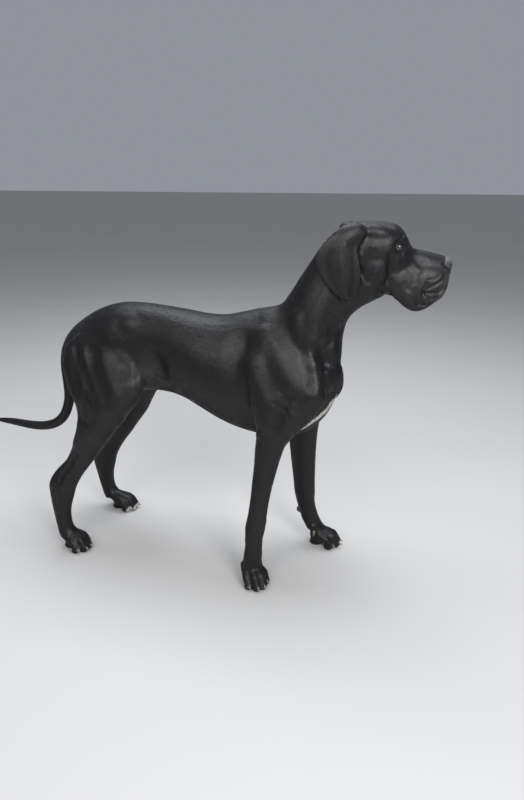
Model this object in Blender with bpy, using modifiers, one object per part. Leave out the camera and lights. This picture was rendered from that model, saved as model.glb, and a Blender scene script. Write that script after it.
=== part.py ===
"""A standing great dane, life size, as a still model. Metres, +Z up, the animal faces +X.

Its flesh is lofted in one piece from sections of the trunk, neck, head and limbs, blended, shaped by
shallow mounds and grooves over the muscles, and then parted into the pieces a person would name.
"""

import math

import bmesh
import bpy
import numpy as np
from mathutils import Matrix, Vector
from mathutils.bvhtree import BVHTree

# Driving dimensions, in metres
MODEL_NAME = "great_dane"
GAP = 0.0003
BLEND_GRID = 0.0075
FLESH_TRIANGLES = 3350
STOP_POINT = (0.5932, 0.0665, 0.9334)
HEAD_YAW = math.radians(18)
HEAD_PITCH = math.radians(11)
EYE_RADIUS = 0.0125
EYE_CENTRE = (-0.0415, 0.0395, -0.006)
EAR_THICKNESS = 0.0055
FAR_EAR_TUCK = 0.70
FAR_EAR_DROP = 0.006
PAW_LENGTH = 0.100
PAW_WIDTH = 0.078
TOE_RADIUS = 0.0135
CLAW_LENGTH = 0.016
CLAW_RADIUS = 0.0040
FOOT_FLAT = 0.0015

# Where each paw stands: middle x, middle y, heading in degrees from +X towards +Y
PAWS = {
    "fore_right": (0.243, -0.124, -46.0),
    "fore_left": (0.392, 0.124, 4.0),
    "hind_right": (-0.338, -0.130, -8.0),
    "hind_left": (-0.318, 0.130, 4.0),
}

# The dewclaw's toe on the inner side of each front paw, in the paw's own axes
THUMBS = {"fore_right": (-0.022, 0.0325, 0.062), "fore_left": (-0.027, -0.037, 0.056)}

COAT_BLACK = (0.017, 0.017, 0.019)
NOSE_BLACK = (0.030, 0.028, 0.028)
EYE_BROWN = (0.10, 0.055, 0.025)
CLAW_PALE = (0.36, 0.31, 0.26)


# Sections and lofts

def span(front, back, y, half, bow_front=2.0, bow_back=2.0, middle=0.5):
    """A section that reaches from a front point to a back point of the side view, (x, z) each."""
    front = np.array([front[0], y, front[1]])
    back = np.array([back[0], y, back[1]])
    centre = back + (front - back) * middle
    length = np.linalg.norm(front - back)
    fore = (front - back) / length
    return np.concatenate([centre, fore, (0, 1, 0), (length * (1 - middle), length * middle, half), (bow_front, bow_back)])


def slab(x, top, bottom, half, bow_top=2.0, bow_bottom=2.0, middle=0.5, y=0.0):
    """An upright section across the animal, at one x."""
    return span((x, top), (x, bottom), y, half, bow_top, bow_bottom, middle)


def post(x, y, z, yaw, fore, back, half, bow=2.2):
    """A level section of a leg, turned about the upright by yaw in degrees."""
    a = math.radians(yaw)
    return np.array([x, y, z, math.cos(a), math.sin(a), 0, -math.sin(a), math.cos(a), 0, fore, back, half, bow, bow])


def smooth_rows(rows, step):
    """The section table made dense: a Catmull-Rom curve through every column."""
    rows = np.array(rows, float)
    gaps = np.maximum(np.linalg.norm(np.diff(rows[:, :3], axis=0), axis=1), 1e-6)
    out = []
    for i, gap in enumerate(gaps):
        here, after = rows[i], rows[i + 1]
        slope_in = (after - rows[i - 1]) / (gap + gaps[i - 1]) if i else (after - here) / gap
        slope_out = (rows[i + 2] - here) / (gap + gaps[i + 1]) if i + 2 < len(rows) else (after - here) / gap
        for t in np.linspace(0, 1, max(2, math.ceil(gap / step)), endpoint=False):
            cubic = (2 * t**3 - 3 * t**2 + 1, t**3 - 2 * t**2 + t, -2 * t**3 + 3 * t**2, t**3 - t**2)
            out.append(cubic[0] * here + cubic[1] * slope_in * gap + cubic[2] * after + cubic[3] * slope_out * gap)
    out.append(rows[-1])
    return np.array(out)


def loft(bm, rows, matrix=None, sides=40, step=0.006):
    """A closed surface through the sections, its ends closed by low domes."""
    dense = smooth_rows(rows, step)
    turn = np.linspace(0, 2 * math.pi, sides, endpoint=False)
    up, across = np.sin(turn), np.cos(turn)
    rings = []
    for row in dense:
        fore, side = row[3:6] / np.linalg.norm(row[3:6]), row[6:9] / np.linalg.norm(row[6:9])
        reach = np.where(up > 0, abs(row[9]), abs(row[10]))
        power = 2 / np.where(up > 0, row[12], row[13])
        along = np.sign(up) * np.abs(up) ** power * reach
        wide = np.sign(across) * np.abs(across) ** power * abs(row[11])
        rings.append(row[:3] + along[:, None] * fore + wide[:, None] * side)
    place = matrix or Matrix.Identity(4)
    verts = [[bm.verts.new(place @ Vector(p)) for p in ring] for ring in rings]
    faces = []
    for first, second in zip(verts, verts[1:]):
        for k in range(sides):
            faces.append(bm.faces.new((first[k], first[(k + 1) % sides], second[(k + 1) % sides], second[k])))
    for ring, row, beyond in ((verts[0], dense[0], dense[1]), (verts[-1], dense[-1], dense[-2])):
        out = row[:3] - beyond[:3]
        reach = 0.35 * min(abs(row[9]) + abs(row[10]), 2 * abs(row[11])) / 2
        tip = Vector(row[:3] + out / max(np.linalg.norm(out), 1e-9) * reach)
        cap = bm.verts.new(place @ tip)
        for k in range(sides):
            faces.append(bm.faces.new((ring[k], ring[(k + 1) % sides], cap)))
    bmesh.ops.recalc_face_normals(bm, faces=faces)


def ball(bm, centre, radii, matrix=None, turn=(0, 0, 0)):
    """An ellipsoid, turned in degrees about its own centre."""
    place = matrix or Matrix.Identity(4)
    spin = Matrix.Rotation(math.radians(turn[2]), 4, "Z") @ Matrix.Rotation(math.radians(turn[1]), 4, "Y")
    spin = spin @ Matrix.Rotation(math.radians(turn[0]), 4, "X")
    shape = bmesh.new()
    bmesh.ops.create_uvsphere(shape, u_segments=24, v_segments=14, radius=1)
    shape.transform(place @ Matrix.Translation(centre) @ spin @ Matrix.Diagonal((*radii, 1)))
    copies = {vert: bm.verts.new(vert.co) for vert in shape.verts}
    for face in shape.faces:
        bm.faces.new([copies[vert] for vert in face.verts])
    shape.free()


def capsule(bm, ends, radii, matrix=None):
    """A round limb between two points, as wide at each end as its radius there."""
    a, b = np.array(ends[0], float), np.array(ends[1], float)
    ball(bm, a, (radii[0],) * 3, matrix)
    ball(bm, b, (radii[1],) * 3, matrix)
    along = (b - a) / np.linalg.norm(b - a)
    fore = np.cross((0, 1, 0) if abs(along[1]) < 0.9 else (1, 0, 0), along)
    fore /= np.linalg.norm(fore)
    side = np.cross(along, fore)
    rows = [np.concatenate([p, fore, side, (r, r, r), (2, 2)]) for p, r in ((a, radii[0]), (b, radii[1]))]
    loft(bm, rows, matrix, sides=20, step=0.05)


# The flesh

def head_matrix():
    turn = Matrix.Rotation(HEAD_YAW, 4, "Z") @ Matrix.Rotation(HEAD_PITCH, 4, "Y")
    return Matrix.Translation(STOP_POINT) @ turn


def add_trunk(bm):
    loft(bm, [
        slab(-0.388, 0.628, 0.560, 0.026),
        slab(-0.366, 0.662, 0.520, 0.046),
        slab(-0.328, 0.696, 0.490, 0.066),
        slab(-0.260, 0.737, 0.470, 0.086, 2.2),
        slab(-0.190, 0.760, 0.480, 0.095, 2.3),
        slab(-0.120, 0.764, 0.505, 0.085, 2.2),
        slab(-0.055, 0.760, 0.511, 0.083, 2.1, 2.1, 0.55),
        slab(0.010, 0.754, 0.500, 0.095, 2.0, 2.1, 0.52),
        slab(0.070, 0.747, 0.474, 0.108, 1.9, 2.1, 0.50),
        slab(0.130, 0.748, 0.448, 0.114, 1.8, 2.2, 0.47),
        slab(0.190, 0.762, 0.430, 0.113, 1.7, 2.3, 0.45),
        slab(0.250, 0.775, 0.420, 0.104, 1.7, 2.3, 0.43),
        slab(0.310, 0.768, 0.420, 0.094, 1.8, 2.2, 0.43),
        slab(0.365, 0.735, 0.440, 0.084, 2.0, 2.0, 0.45),
        slab(0.412, 0.700, 0.490, 0.066, 2.0, 2.0, 0.48),
        slab(0.440, 0.665, 0.548, 0.034),
    ])


def add_neck(bm):
    loft(bm, [
        span((0.180, 0.752), (0.360, 0.500), 0.0, 0.080, 1.8),
        span((0.235, 0.772), (0.415, 0.565), 0.0, 0.084, 1.8),
        span((0.282, 0.785), (0.444, 0.640), 0.002, 0.082, 1.8),
        span((0.306, 0.815), (0.447, 0.705), 0.004, 0.076, 1.8),
        span((0.330, 0.855), (0.458, 0.752), 0.008, 0.070, 1.9),
        span((0.352, 0.890), (0.483, 0.781), 0.012, 0.065, 2.0),
        span((0.376, 0.925), (0.517, 0.802), 0.017, 0.062, 2.1),
        span((0.408, 0.950), (0.545, 0.818), 0.024, 0.058, 2.1),
        span((0.440, 0.960), (0.560, 0.840), 0.032, 0.050, 2.1),
    ])


def add_head(bm):
    place = head_matrix()
    loft(bm, [
        slab(-0.192, -0.022, -0.092, 0.040),
        slab(-0.172, 0.010, -0.104, 0.054),
        slab(-0.145, 0.032, -0.108, 0.064),
        slab(-0.112, 0.041, -0.108, 0.069, 2.2, 2.0, 0.55),
        slab(-0.080, 0.0455, -0.110, 0.068, 2.3, 2.0, 0.58),
        slab(-0.056, 0.0460, -0.110, 0.064, 2.4, 2.0, 0.58),
        slab(-0.034, 0.0380, -0.108, 0.056, 2.4, 2.0, 0.55),
        slab(-0.015, 0.0200, -0.104, 0.047, 2.3, 2.0, 0.50),
        slab(0.004, 0.0000, -0.100, 0.041, 2.3, 2.2, 0.42),
        slab(0.030, -0.0025, -0.096, 0.038, 2.5, 2.3, 0.38),
        slab(0.060, -0.0035, -0.092, 0.036, 2.5, 2.3, 0.36),
        slab(0.086, -0.0060, -0.086, 0.033, 2.5, 2.3, 0.36),
        slab(0.103, -0.0090, -0.078, 0.028, 2.4, 2.3, 0.40),
        slab(0.109, -0.0180, -0.070, 0.021, 2.2, 2.2, 0.45),
    ], place)
    ball(bm, (0.097, 0, -0.0275), (0.0165, 0.0215, 0.0205), place)
    loft(bm, [
        slab(0.110, -0.088, -0.106, 0.010),
        slab(0.102, -0.080, -0.119, 0.018),
        slab(0.080, -0.075, -0.130, 0.024),
        slab(0.040, -0.075, -0.132, 0.028),
        slab(0.000, -0.075, -0.130, 0.033),
        slab(-0.040, -0.070, -0.127, 0.040),
        slab(-0.080, -0.060, -0.122, 0.046),
        slab(-0.120, -0.050, -0.110, 0.044),
    ], place)
    for side in (-1, 1):
        loft(bm, [
            slab(0.114, -0.056, -0.088, 0.008, y=side * 0.008),
            slab(0.106, -0.044, -0.106, 0.016, y=side * 0.017),
            slab(0.088, -0.036, -0.124, 0.019, y=side * 0.024),
            slab(0.062, -0.034, -0.146, 0.019, y=side * 0.029),
            slab(0.036, -0.036, -0.152, 0.018, y=side * 0.031),
            slab(0.010, -0.040, -0.143, 0.017, y=side * 0.034),
            slab(-0.016, -0.046, -0.128, 0.015, y=side * 0.037),
            slab(-0.040, -0.056, -0.112, 0.012, y=side * 0.039),
        ], place)
        ball(bm, (-0.088, side * 0.047, -0.060), (0.046, 0.022, 0.044), place)
        capsule(bm, ((-0.030, side * 0.043, -0.028), (-0.105, side * 0.060, -0.016)), (0.011, 0.012), place)
        ball(bm, (-0.040, side * 0.031, 0.013), (0.024, 0.016, 0.015), place)
        ball(bm, (-0.100, side * 0.046, 0.014), (0.045, 0.020, 0.024), place)
        ball(bm, (-0.150, side * 0.048, 0.008), (0.028, 0.018, 0.020), place)


def add_tail(bm):
    course = (
        (-0.350, 0.642, 0.030), (-0.374, 0.604, 0.0265), (-0.388, 0.552, 0.0220), (-0.391, 0.500, 0.0185),
        (-0.396, 0.452, 0.0160), (-0.411, 0.409, 0.0155), (-0.433, 0.377, 0.0155), (-0.464, 0.355, 0.0152),
        (-0.502, 0.343, 0.0147), (-0.542, 0.339, 0.0140), (-0.582, 0.340, 0.0130), (-0.622, 0.342, 0.0115),
        (-0.655, 0.342, 0.0090), (-0.682, 0.341, 0.0060), (-0.694, 0.341, 0.0035),
    )
    points = np.array([(x, 0.0, z) for x, z, _ in course])
    flow = np.gradient(points, axis=0)
    rows = []
    for point, along, (_, _, radius) in zip(points, flow, course):
        along = along / np.linalg.norm(along)
        fore = np.cross((0, 1, 0), along)
        rows.append(np.concatenate([point, fore, (0, 1, 0), (radius, radius, radius), (2, 2)]))
    loft(bm, rows, sides=24)


def add_shoulders(bm):
    """Shoulder, upper arm and foreleg: the right leg stands back and turned out, the left one forward."""
    for side, shift in ((-1, 0.0), (1, 0.028)):
        loft(bm, [
            span((0.330, 0.735), (0.215, 0.735), side * 0.046, 0.026),
            span((0.385, 0.680), (0.200, 0.690), side * 0.064, 0.034),
            span((0.418 + shift / 3, 0.620), (0.196, 0.640), side * 0.077, 0.040),
            span((0.428 + shift / 2, 0.568), (0.205 + shift / 3, 0.585), side * 0.086, 0.042),
            span((0.404 + shift, 0.520), (0.222 + shift / 2, 0.535), side * 0.093, 0.042),
            span((0.366 + shift, 0.478), (0.242 + shift, 0.488), side * 0.099, 0.040),
            span((0.335 + shift, 0.440), (0.250 + shift, 0.448), side * 0.104, 0.036),
            span((0.315 + shift, 0.405), (0.252 + shift, 0.410), side * 0.107, 0.031),
        ])
    loft(bm, [
        post(0.306, -0.098, 0.500, -8, 0.052, 0.050, 0.036),
        post(0.294, -0.103, 0.455, -14, 0.044, 0.046, 0.035),
        post(0.284, -0.108, 0.410, -22, 0.038, 0.040, 0.032),
        post(0.276, -0.112, 0.360, -30, 0.034, 0.036, 0.0275),
        post(0.268, -0.115, 0.310, -36, 0.031, 0.034, 0.0250),
        post(0.261, -0.118, 0.260, -40, 0.029, 0.031, 0.0240),
        post(0.255, -0.120, 0.215, -43, 0.029, 0.030, 0.0255),
        post(0.250, -0.122, 0.178, -45, 0.029, 0.032, 0.0275),
        post(0.247, -0.123, 0.150, -46, 0.026, 0.029, 0.0250),
        post(0.245, -0.123, 0.118, -46, 0.026, 0.026, 0.0245),
        post(0.242, -0.121, 0.085, -46, 0.027, 0.027, 0.0275),
        post(0.240, -0.120, 0.060, -46, 0.026, 0.028, 0.0300),
        post(0.240, -0.120, 0.042, -46, 0.024, 0.026, 0.0290),
    ])
    loft(bm, [
        post(0.338, 0.098, 0.500, 2, 0.056, 0.052, 0.036),
        post(0.330, 0.103, 0.455, 2, 0.050, 0.048, 0.035),
        post(0.325, 0.108, 0.410, 2, 0.046, 0.044, 0.032),
        post(0.323, 0.112, 0.360, 2, 0.043, 0.042, 0.0275),
        post(0.324, 0.115, 0.310, 2, 0.040, 0.039, 0.0250),
        post(0.326, 0.118, 0.260, 3, 0.037, 0.036, 0.0240),
        post(0.329, 0.120, 0.215, 3, 0.034, 0.034, 0.0255),
        post(0.332, 0.121, 0.178, 4, 0.032, 0.033, 0.0275),
        post(0.335, 0.122, 0.150, 4, 0.029, 0.030, 0.0250),
        post(0.343, 0.123, 0.118, 4, 0.027, 0.029, 0.0245),
        post(0.353, 0.124, 0.085, 4, 0.029, 0.029, 0.0280),
        post(0.366, 0.124, 0.058, 4, 0.034, 0.028, 0.0310),
    ])
    for key, (x, y, z) in (("fore_right", (0.229, -0.104, 0.150)), ("fore_left", (0.317, 0.120, 0.116))):
        ball(bm, (x, y, z), (0.012, 0.010, 0.014), turn=(0, 15, PAWS[key][2]))
    for key, (x, y, z) in THUMBS.items():
        ball(bm, (x + 0.001, y, z + 0.013), (0.009, 0.008, 0.012), paw_matrix(key), (0, 25, 0))


def add_hind_legs(bm):
    """Thigh to hock: the left knee is set a little further back than the right one."""
    for side, set_back in ((-1, 0.0), (1, 0.014)):
        loft(bm, [
            span((-0.105, 0.680), (-0.300, 0.680), side * 0.050, 0.034),
            span((-0.085, 0.615), (-0.344, 0.630), side * 0.064, 0.042),
            span((-0.082, 0.560), (-0.348, 0.575), side * 0.076, 0.047),
            span((-0.096 - set_back, 0.515), (-0.330, 0.530), side * 0.086, 0.050),
            span((-0.126 - set_back, 0.474), (-0.312, 0.505), side * 0.093, 0.048),
            span((-0.156 - set_back / 2, 0.436), (-0.298, 0.462), side * 0.099, 0.043),
            span((-0.186, 0.396), (-0.299, 0.415), side * 0.104, 0.037),
            span((-0.220, 0.352), (-0.310, 0.377), side * 0.108, 0.031),
            span((-0.252, 0.310), (-0.326, 0.338), side * 0.111, 0.0265),
            span((-0.280, 0.275), (-0.348, 0.300), side * 0.114, 0.0235),
            span((-0.303, 0.243), (-0.384, 0.262), side * 0.117, 0.0225),
            span((-0.321, 0.212), (-0.414, 0.216), side * 0.119, 0.0250),
            span((-0.333, 0.178), (-0.414, 0.172), side * 0.122, 0.0255),
            span((-0.345, 0.140), (-0.409, 0.132), side * 0.125, 0.0225),
            span((-0.349, 0.105), (-0.403, 0.097), side * 0.127, 0.0225),
            span((-0.345, 0.074), (-0.396, 0.062), side * 0.129, 0.0260),
            span((-0.330, 0.052), (-0.385, 0.036), side * 0.130, 0.0285),
        ])


def paw_matrix(key):
    x, y, yaw = PAWS[key]
    return Matrix.Translation((x, y, 0)) @ Matrix.Rotation(math.radians(yaw), 4, "Z")


def toe_layout(key):
    """Each toe's own place in its paw: how far forward, how far across, and its turn in degrees."""
    hind = key.startswith("hind")
    reach = PAW_LENGTH * (0.40 if hind else 0.455)
    spread = PAW_WIDTH * (0.88 if hind else 0.94)
    for number, across in enumerate((-0.365, -0.130, 0.130, 0.365)):
        forward = reach - (0.0175 if number in (0, 3) else 0.0)
        yield number, forward, across * spread, across * 34


def add_paw(bm, key):
    place = paw_matrix(key)
    hind = key.startswith("hind")
    ball(bm, (0.000, 0, 0.033), (0.042, 0.030 if hind else 0.031, 0.026), place)
    ball(bm, (-0.020, 0, 0.011), (0.021, 0.023, 0.0125), place)
    tips = []
    for _, forward, across, turn in toe_layout(key):
        a = math.radians(turn)
        middle = abs(across) < 0.02
        root = (forward - 0.054 * math.cos(a), across * 0.50, 0.052 if middle else 0.048)
        knuckle = (forward - 0.014 * math.cos(a), across, 0.0385 if middle else 0.0340)
        tip = (forward, across + 0.004 * math.sin(a), 0.0165)
        capsule(bm, (root, knuckle), (0.0150, TOE_RADIUS), place)
        capsule(bm, (knuckle, tip), (TOE_RADIUS, 0.0120), place)
        ball(bm, (forward - 0.006, across, 0.0085), (0.0145, 0.0110, 0.0100), place)
        tips.append((forward, across))
    for (forward, across), (next_forward, next_across) in zip(tips, tips[1:]):
        web = ((forward + next_forward) / 2 - 0.020, (across + next_across) / 2, 0.028)
        ball(bm, web, (0.014, 0.0105, 0.0125), place)


def ear_sheet(side, rows=11, columns=8):
    """The flap of one ear as a grid of points in the head's own axes, folded where it leaves the skull."""
    edges = (
        (0.026, -0.134, -0.168, 0.050, 0.046), (0.017, -0.127, -0.184, 0.060, 0.056),
        (0.000, -0.131, -0.201, 0.0660, 0.064), (-0.025, -0.139, -0.219, 0.0680, 0.068),
        (-0.050, -0.129, -0.231, 0.0690, 0.070), (-0.075, -0.119, -0.232, 0.0695, 0.071),
        (-0.098, -0.114, -0.219, 0.0690, 0.071), (-0.118, -0.116, -0.199, 0.0670, 0.071),
        (-0.134, -0.119, -0.176, 0.0660, 0.070), (-0.146, -0.124, -0.158, 0.0660, 0.068),
        (-0.152, -0.132, -0.148, 0.0660, 0.067),
    )
    tuck, drop = (FAR_EAR_TUCK, FAR_EAR_DROP) if side > 0 else (1, 0)
    table = np.array([(0, front, z, back, front_y, back_y, 0, 0, 0, 0, 0, 0, 2, 2) for z, front, back, front_y, back_y in edges])
    dense = smooth_rows(table, 0.010)
    picks = np.linspace(0, len(dense) - 1, rows).round().astype(int)
    grid = np.zeros((rows, columns, 3))
    for i, row in enumerate(dense[picks]):
        _, front, z, back, front_y, back_y = row[:6]
        s = np.linspace(0, 1, columns)
        back = front + (back - front) * tuck
        bulge = 0.009 * np.sin(math.pi * s) * min(1, abs(front - back) / 0.05)
        grid[i, :, 0] = front + (back - front) * s
        grid[i, :, 1] = side * (front_y + (back_y - front_y) * s**1.4 + bulge)
        grid[i, :, 2] = z - drop + 0.004 * np.sin(math.pi * s)
    return grid


def add_ear(bm, side, thickness):
    """The flap given its thickness: two layers joined round the rim."""
    grid = ear_sheet(side)
    rows, columns = grid.shape[:2]
    lean = np.cross(np.gradient(grid, axis=0), np.gradient(grid, axis=1))
    lean /= np.linalg.norm(lean, axis=2, keepdims=True)
    place = head_matrix()
    rim = np.minimum.outer(np.minimum(np.arange(rows), rows - 1 - np.arange(rows)), np.full(columns, 99))
    rim = np.minimum(rim, np.minimum(np.arange(columns), columns - 1 - np.arange(columns))[None, :])
    half = thickness / 2 * np.where(rim == 0, 0.55, 1.0)[..., None]
    layers = [[[bm.verts.new(place @ Vector(p)) for p in row] for row in grid + way * half * lean] for way in (1, -1)]
    faces = []
    for layer in layers:
        for i in range(rows - 1):
            for j in range(columns - 1):
                faces.append(bm.faces.new((layer[i][j], layer[i + 1][j], layer[i + 1][j + 1], layer[i][j + 1])))
    border = [(i, 0) for i in range(rows)] + [(rows - 1, j) for j in range(1, columns)]
    border += [(i, columns - 1) for i in range(rows - 2, -1, -1)] + [(0, j) for j in range(columns - 2, 0, -1)]
    for (i, j), (k, m) in zip(border, border[1:] + border[:1]):
        faces.append(bm.faces.new((layers[0][i][j], layers[0][k][m], layers[1][k][m], layers[1][i][j])))
    bmesh.ops.recalc_face_normals(bm, faces=faces)


# Blending and shaping

def object_from(bm, name):
    mesh = bpy.data.meshes.new(name)
    bm.to_mesh(mesh)
    bm.free()
    obj = bpy.data.objects.new(name, mesh)
    bpy.context.scene.collection.objects.link(obj)
    return obj


def applied(obj, kind, **settings):
    """The object with one modifier applied."""
    modifier = obj.modifiers.new(kind.title(), kind)
    for key, value in settings.items():
        setattr(modifier, key, value)
    mesh = bpy.data.meshes.new_from_object(obj.evaluated_get(bpy.context.evaluated_depsgraph_get()))
    obj.modifiers.clear()
    obj.data = mesh
    return obj


def coordinates(mesh):
    flat = np.empty(len(mesh.vertices) * 3)
    mesh.vertices.foreach_get("co", flat)
    return flat.reshape(-1, 3)


def set_coordinates(mesh, points):
    mesh.vertices.foreach_set("co", points.ravel())
    mesh.update()


def normals_of(mesh):
    flat = np.empty(len(mesh.vertices) * 3)
    mesh.vertex_normals.foreach_get("vector", flat)
    return flat.reshape(-1, 3)


def edge_ends(mesh):
    flat = np.empty(len(mesh.edges) * 2, int)
    mesh.edges.foreach_get("vertices", flat)
    return flat.reshape(-1, 2)


def relax(points, ends, rounds, weight=None):
    """Taubin smoothing: it rounds the creases between lofts and keeps the volume."""
    count = np.bincount(ends.ravel(), minlength=len(points))[:, None]
    weight = 1.0 if weight is None else weight[:, None]
    for _ in range(rounds):
        for pull in (0.55, -0.57):
            total = np.zeros_like(points)
            for axis in range(3):
                total[:, axis] = np.bincount(ends[:, 0], points[ends[:, 1], axis], len(points))
                total[:, axis] += np.bincount(ends[:, 1], points[ends[:, 0], axis], len(points))
            points = points + pull * weight * (total / count - points)
    return points


def line_distance(points, path):
    """Distance from each point to a polyline."""
    best = np.full(len(points), np.inf)
    for a, b in zip(path, path[1:]) if len(path) > 1 else ((path[0], path[0] + 1e-9),):
        along = b - a
        t = np.clip((points - a) @ along / max(along @ along, 1e-18), 0, 1)
        best = np.minimum(best, np.linalg.norm(points - (a + t[:, None] * along), axis=1))
    return best


def on_side(tree, x, z, side):
    """Where the side view's point (x, z) meets the flesh, from the given side."""
    hit = tree.ray_cast(Vector((x, side, z)), Vector((0, -side, 0)))[0]
    return np.array(hit if hit else (x, side * 0.1, z))


def on_head_side(tree, x, z, side):
    """The same for a point of the head's own side view."""
    place = head_matrix()
    start, way = place @ Vector((x, side * 0.3, z)), place.to_3x3() @ Vector((0, -side, 0))
    hit = tree.ray_cast(start, way)[0]
    return np.array(hit if hit else place @ Vector((x, side * 0.04, z)))


# Muscles and bones under the skin as the side view shows them: a path of (x, z), a reach and a height
BODY_RELIEF = (
    (((0.258, 0.742), (0.300, 0.670), (0.350, 0.600)), 0.036, 0.0024),
    (((0.222, 0.700), (0.262, 0.640), (0.306, 0.590)), 0.032, -0.0024),
    (((0.404, 0.580),), 0.036, 0.0070),
    (((0.236, 0.640), (0.252, 0.570), (0.282, 0.510)), 0.048, 0.0080),
    (((0.190, 0.690), (0.196, 0.600), (0.222, 0.510)), 0.045, -0.0050),
    (((0.335, 0.570), (0.305, 0.510)), 0.020, -0.0035),
    (((0.258, 0.462),), 0.020, 0.0060),
    (((0.350, 0.520), (0.325, 0.470)), 0.030, 0.0040),
    (((0.430, 0.850), (0.385, 0.760), (0.390, 0.660)), 0.030, 0.0050),
    (((0.487, 0.815), (0.430, 0.740), (0.418, 0.650)), 0.020, -0.0050),
    (((0.330, 0.800), (0.300, 0.730)), 0.034, -0.0015),
    (((-0.050, 0.620), (-0.075, 0.560)), 0.055, -0.0080),
    (((-0.130, 0.722),), 0.038, 0.0045),
    (((-0.320, 0.640),), 0.036, 0.0045),
    (((-0.285, 0.640), (-0.235, 0.540), (-0.255, 0.440)), 0.022, -0.0045),
    (((-0.190, 0.600), (-0.160, 0.490)), 0.050, 0.0060),
    (((-0.320, 0.600), (-0.285, 0.510)), 0.034, 0.0050),
    (((-0.158, 0.436),), 0.024, 0.0050),
    (((-0.280, 0.420), (-0.302, 0.365)), 0.030, 0.0045),
    (((-0.300, 0.335), (-0.330, 0.285), (-0.362, 0.243)), 0.015, -0.0065),
    (((-0.345, 0.214),), 0.015, 0.0035),
)


# The same on the head, in its own axes from the stop: bones of the eye and cheek, lips and folds
HEAD_RELIEF = (
    (((-0.034, -0.006),), 0.026, -0.0060),
    (((-0.050, -0.034), (-0.046, -0.062)), 0.020, -0.0035),
    (((-0.004, -0.018), (0.030, -0.030)), 0.022, -0.0030),
    (((0.112, -0.064), (0.098, -0.086), (0.080, -0.098), (0.052, -0.103)), 0.009, -0.0045),
    (((0.028, -0.096), (0.042, -0.119), (0.056, -0.130), (0.078, -0.124)), 0.010, -0.0030),
    (((0.070, -0.056),), 0.034, 0.0035),
    (((0.020, -0.120),), 0.030, 0.0030),
)


def shape_flesh(obj):
    """Blends the lofts into each other, then raises and sinks the muscles on both sides."""
    mesh = obj.data
    ends = edge_ends(mesh)
    points = coordinates(mesh)
    low = np.clip((points[:, 2] - 0.03) / 0.12, 0.12, 1)
    head = np.array(head_matrix().inverted())
    local = points @ head[:3, :3].T + head[:3, 3]
    on_head = (local[:, 0] > -0.11) & (local[:, 2] > -0.17)
    points = relax(points, ends, 8, np.where(on_head, 0.35, low))
    set_coordinates(mesh, points)
    normals = normals_of(mesh)
    tree = BVHTree.FromPolygons([tuple(p) for p in points], [tuple(p.vertices) for p in mesh.polygons])
    offset = np.zeros(len(points))
    for side in (-1, 1):
        near = np.clip(normals[:, 1] * side * 3, 0, 1)
        for path, reach, height in BODY_RELIEF:
            line = [on_side(tree, x, z, side) for x, z in path]
            fall = np.clip(1 - (line_distance(points, line) / reach) ** 2, 0, 1) ** 2
            offset += near * fall * height
        for path, reach, height in HEAD_RELIEF:
            line = [on_head_side(tree, x, z, side) for x, z in path]
            fall = np.clip(1 - (line_distance(points, line) / reach) ** 2, 0, 1) ** 2
            offset += fall * height
    points = points + normals * offset[:, None]
    set_coordinates(mesh, relax(points, ends, 2, low))
    return obj


def cut(obj, cutter, operation="DIFFERENCE"):
    """One closed solid taken from the object, or met with it, and the cutter removed."""
    applied(obj, "BOOLEAN", operation=operation, solver="EXACT", object=cutter)
    return obj


def removed(*objects):
    for obj in objects:
        bpy.data.objects.remove(obj)


def box_cutter(centre, size, turn=(0, 0, 0), shell=0.0):
    """A box, or with a shell the thin wall round it, turned in degrees."""
    bm = bmesh.new()
    spin = Matrix.Rotation(math.radians(turn[2]), 4, "Z") @ Matrix.Rotation(math.radians(turn[1]), 4, "Y")
    spin = Matrix.Translation(centre) @ spin @ Matrix.Rotation(math.radians(turn[0]), 4, "X")
    bmesh.ops.create_cube(bm, size=1, matrix=spin @ Matrix.Diagonal((*size, 1)))
    if shell:
        inner = [value - 2 * shell for value in size]
        made = bmesh.ops.create_cube(bm, size=1, matrix=spin @ Matrix.Diagonal((*inner, 1)))
        bmesh.ops.reverse_faces(bm, faces=list({f for v in made["verts"] for f in v.link_faces}))
    return object_from(bm, "cutter")


def in_head(x, y, z):
    return tuple(head_matrix() @ Vector((x, y, z)))


def loose_parts(obj):
    """Each separate closed body of a mesh as (points, faces)."""
    mesh = obj.data
    points = coordinates(mesh)
    label = np.arange(len(points))
    ends = edge_ends(mesh)
    while True:
        lowest = np.minimum(label[ends[:, 0]], label[ends[:, 1]])
        new = label.copy()
        np.minimum.at(new, ends[:, 0], lowest)
        np.minimum.at(new, ends[:, 1], lowest)
        new = new[new]
        if (new == label).all():
            break
        label = new
    groups = {}
    for polygon in mesh.polygons:
        groups.setdefault(label[polygon.vertices[0]], []).append(tuple(polygon.vertices))
    parts = []
    for faces in groups.values():
        used = sorted({i for face in faces for i in face})
        place = {old: new for new, old in enumerate(used)}
        parts.append((points[used], [tuple(place[i] for i in face) for face in faces]))
    return parts


def keep_largest(obj):
    """Drops the crumbs that a cut left beside the main body."""
    points, faces = max(loose_parts(obj), key=lambda part: len(part[1]))
    mesh = bpy.data.meshes.new(obj.name)
    mesh.from_pydata([tuple(p) for p in points], [], faces)
    obj.data = mesh


def flesh():
    """The whole animal without its ears as one blended and shaped solid."""
    bm = bmesh.new()
    add_trunk(bm)
    add_neck(bm)
    add_head(bm)
    add_tail(bm)
    add_shoulders(bm)
    add_hind_legs(bm)
    for key in PAWS:
        add_paw(bm, key)
    obj = object_from(bm, "flesh")
    applied(obj, "REMESH", mode="VOXEL", voxel_size=BLEND_GRID)
    return shape_flesh(obj)


def ear(side):
    bm = bmesh.new()
    add_ear(bm, side, EAR_THICKNESS)
    return object_from(bm, "ear")


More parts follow.
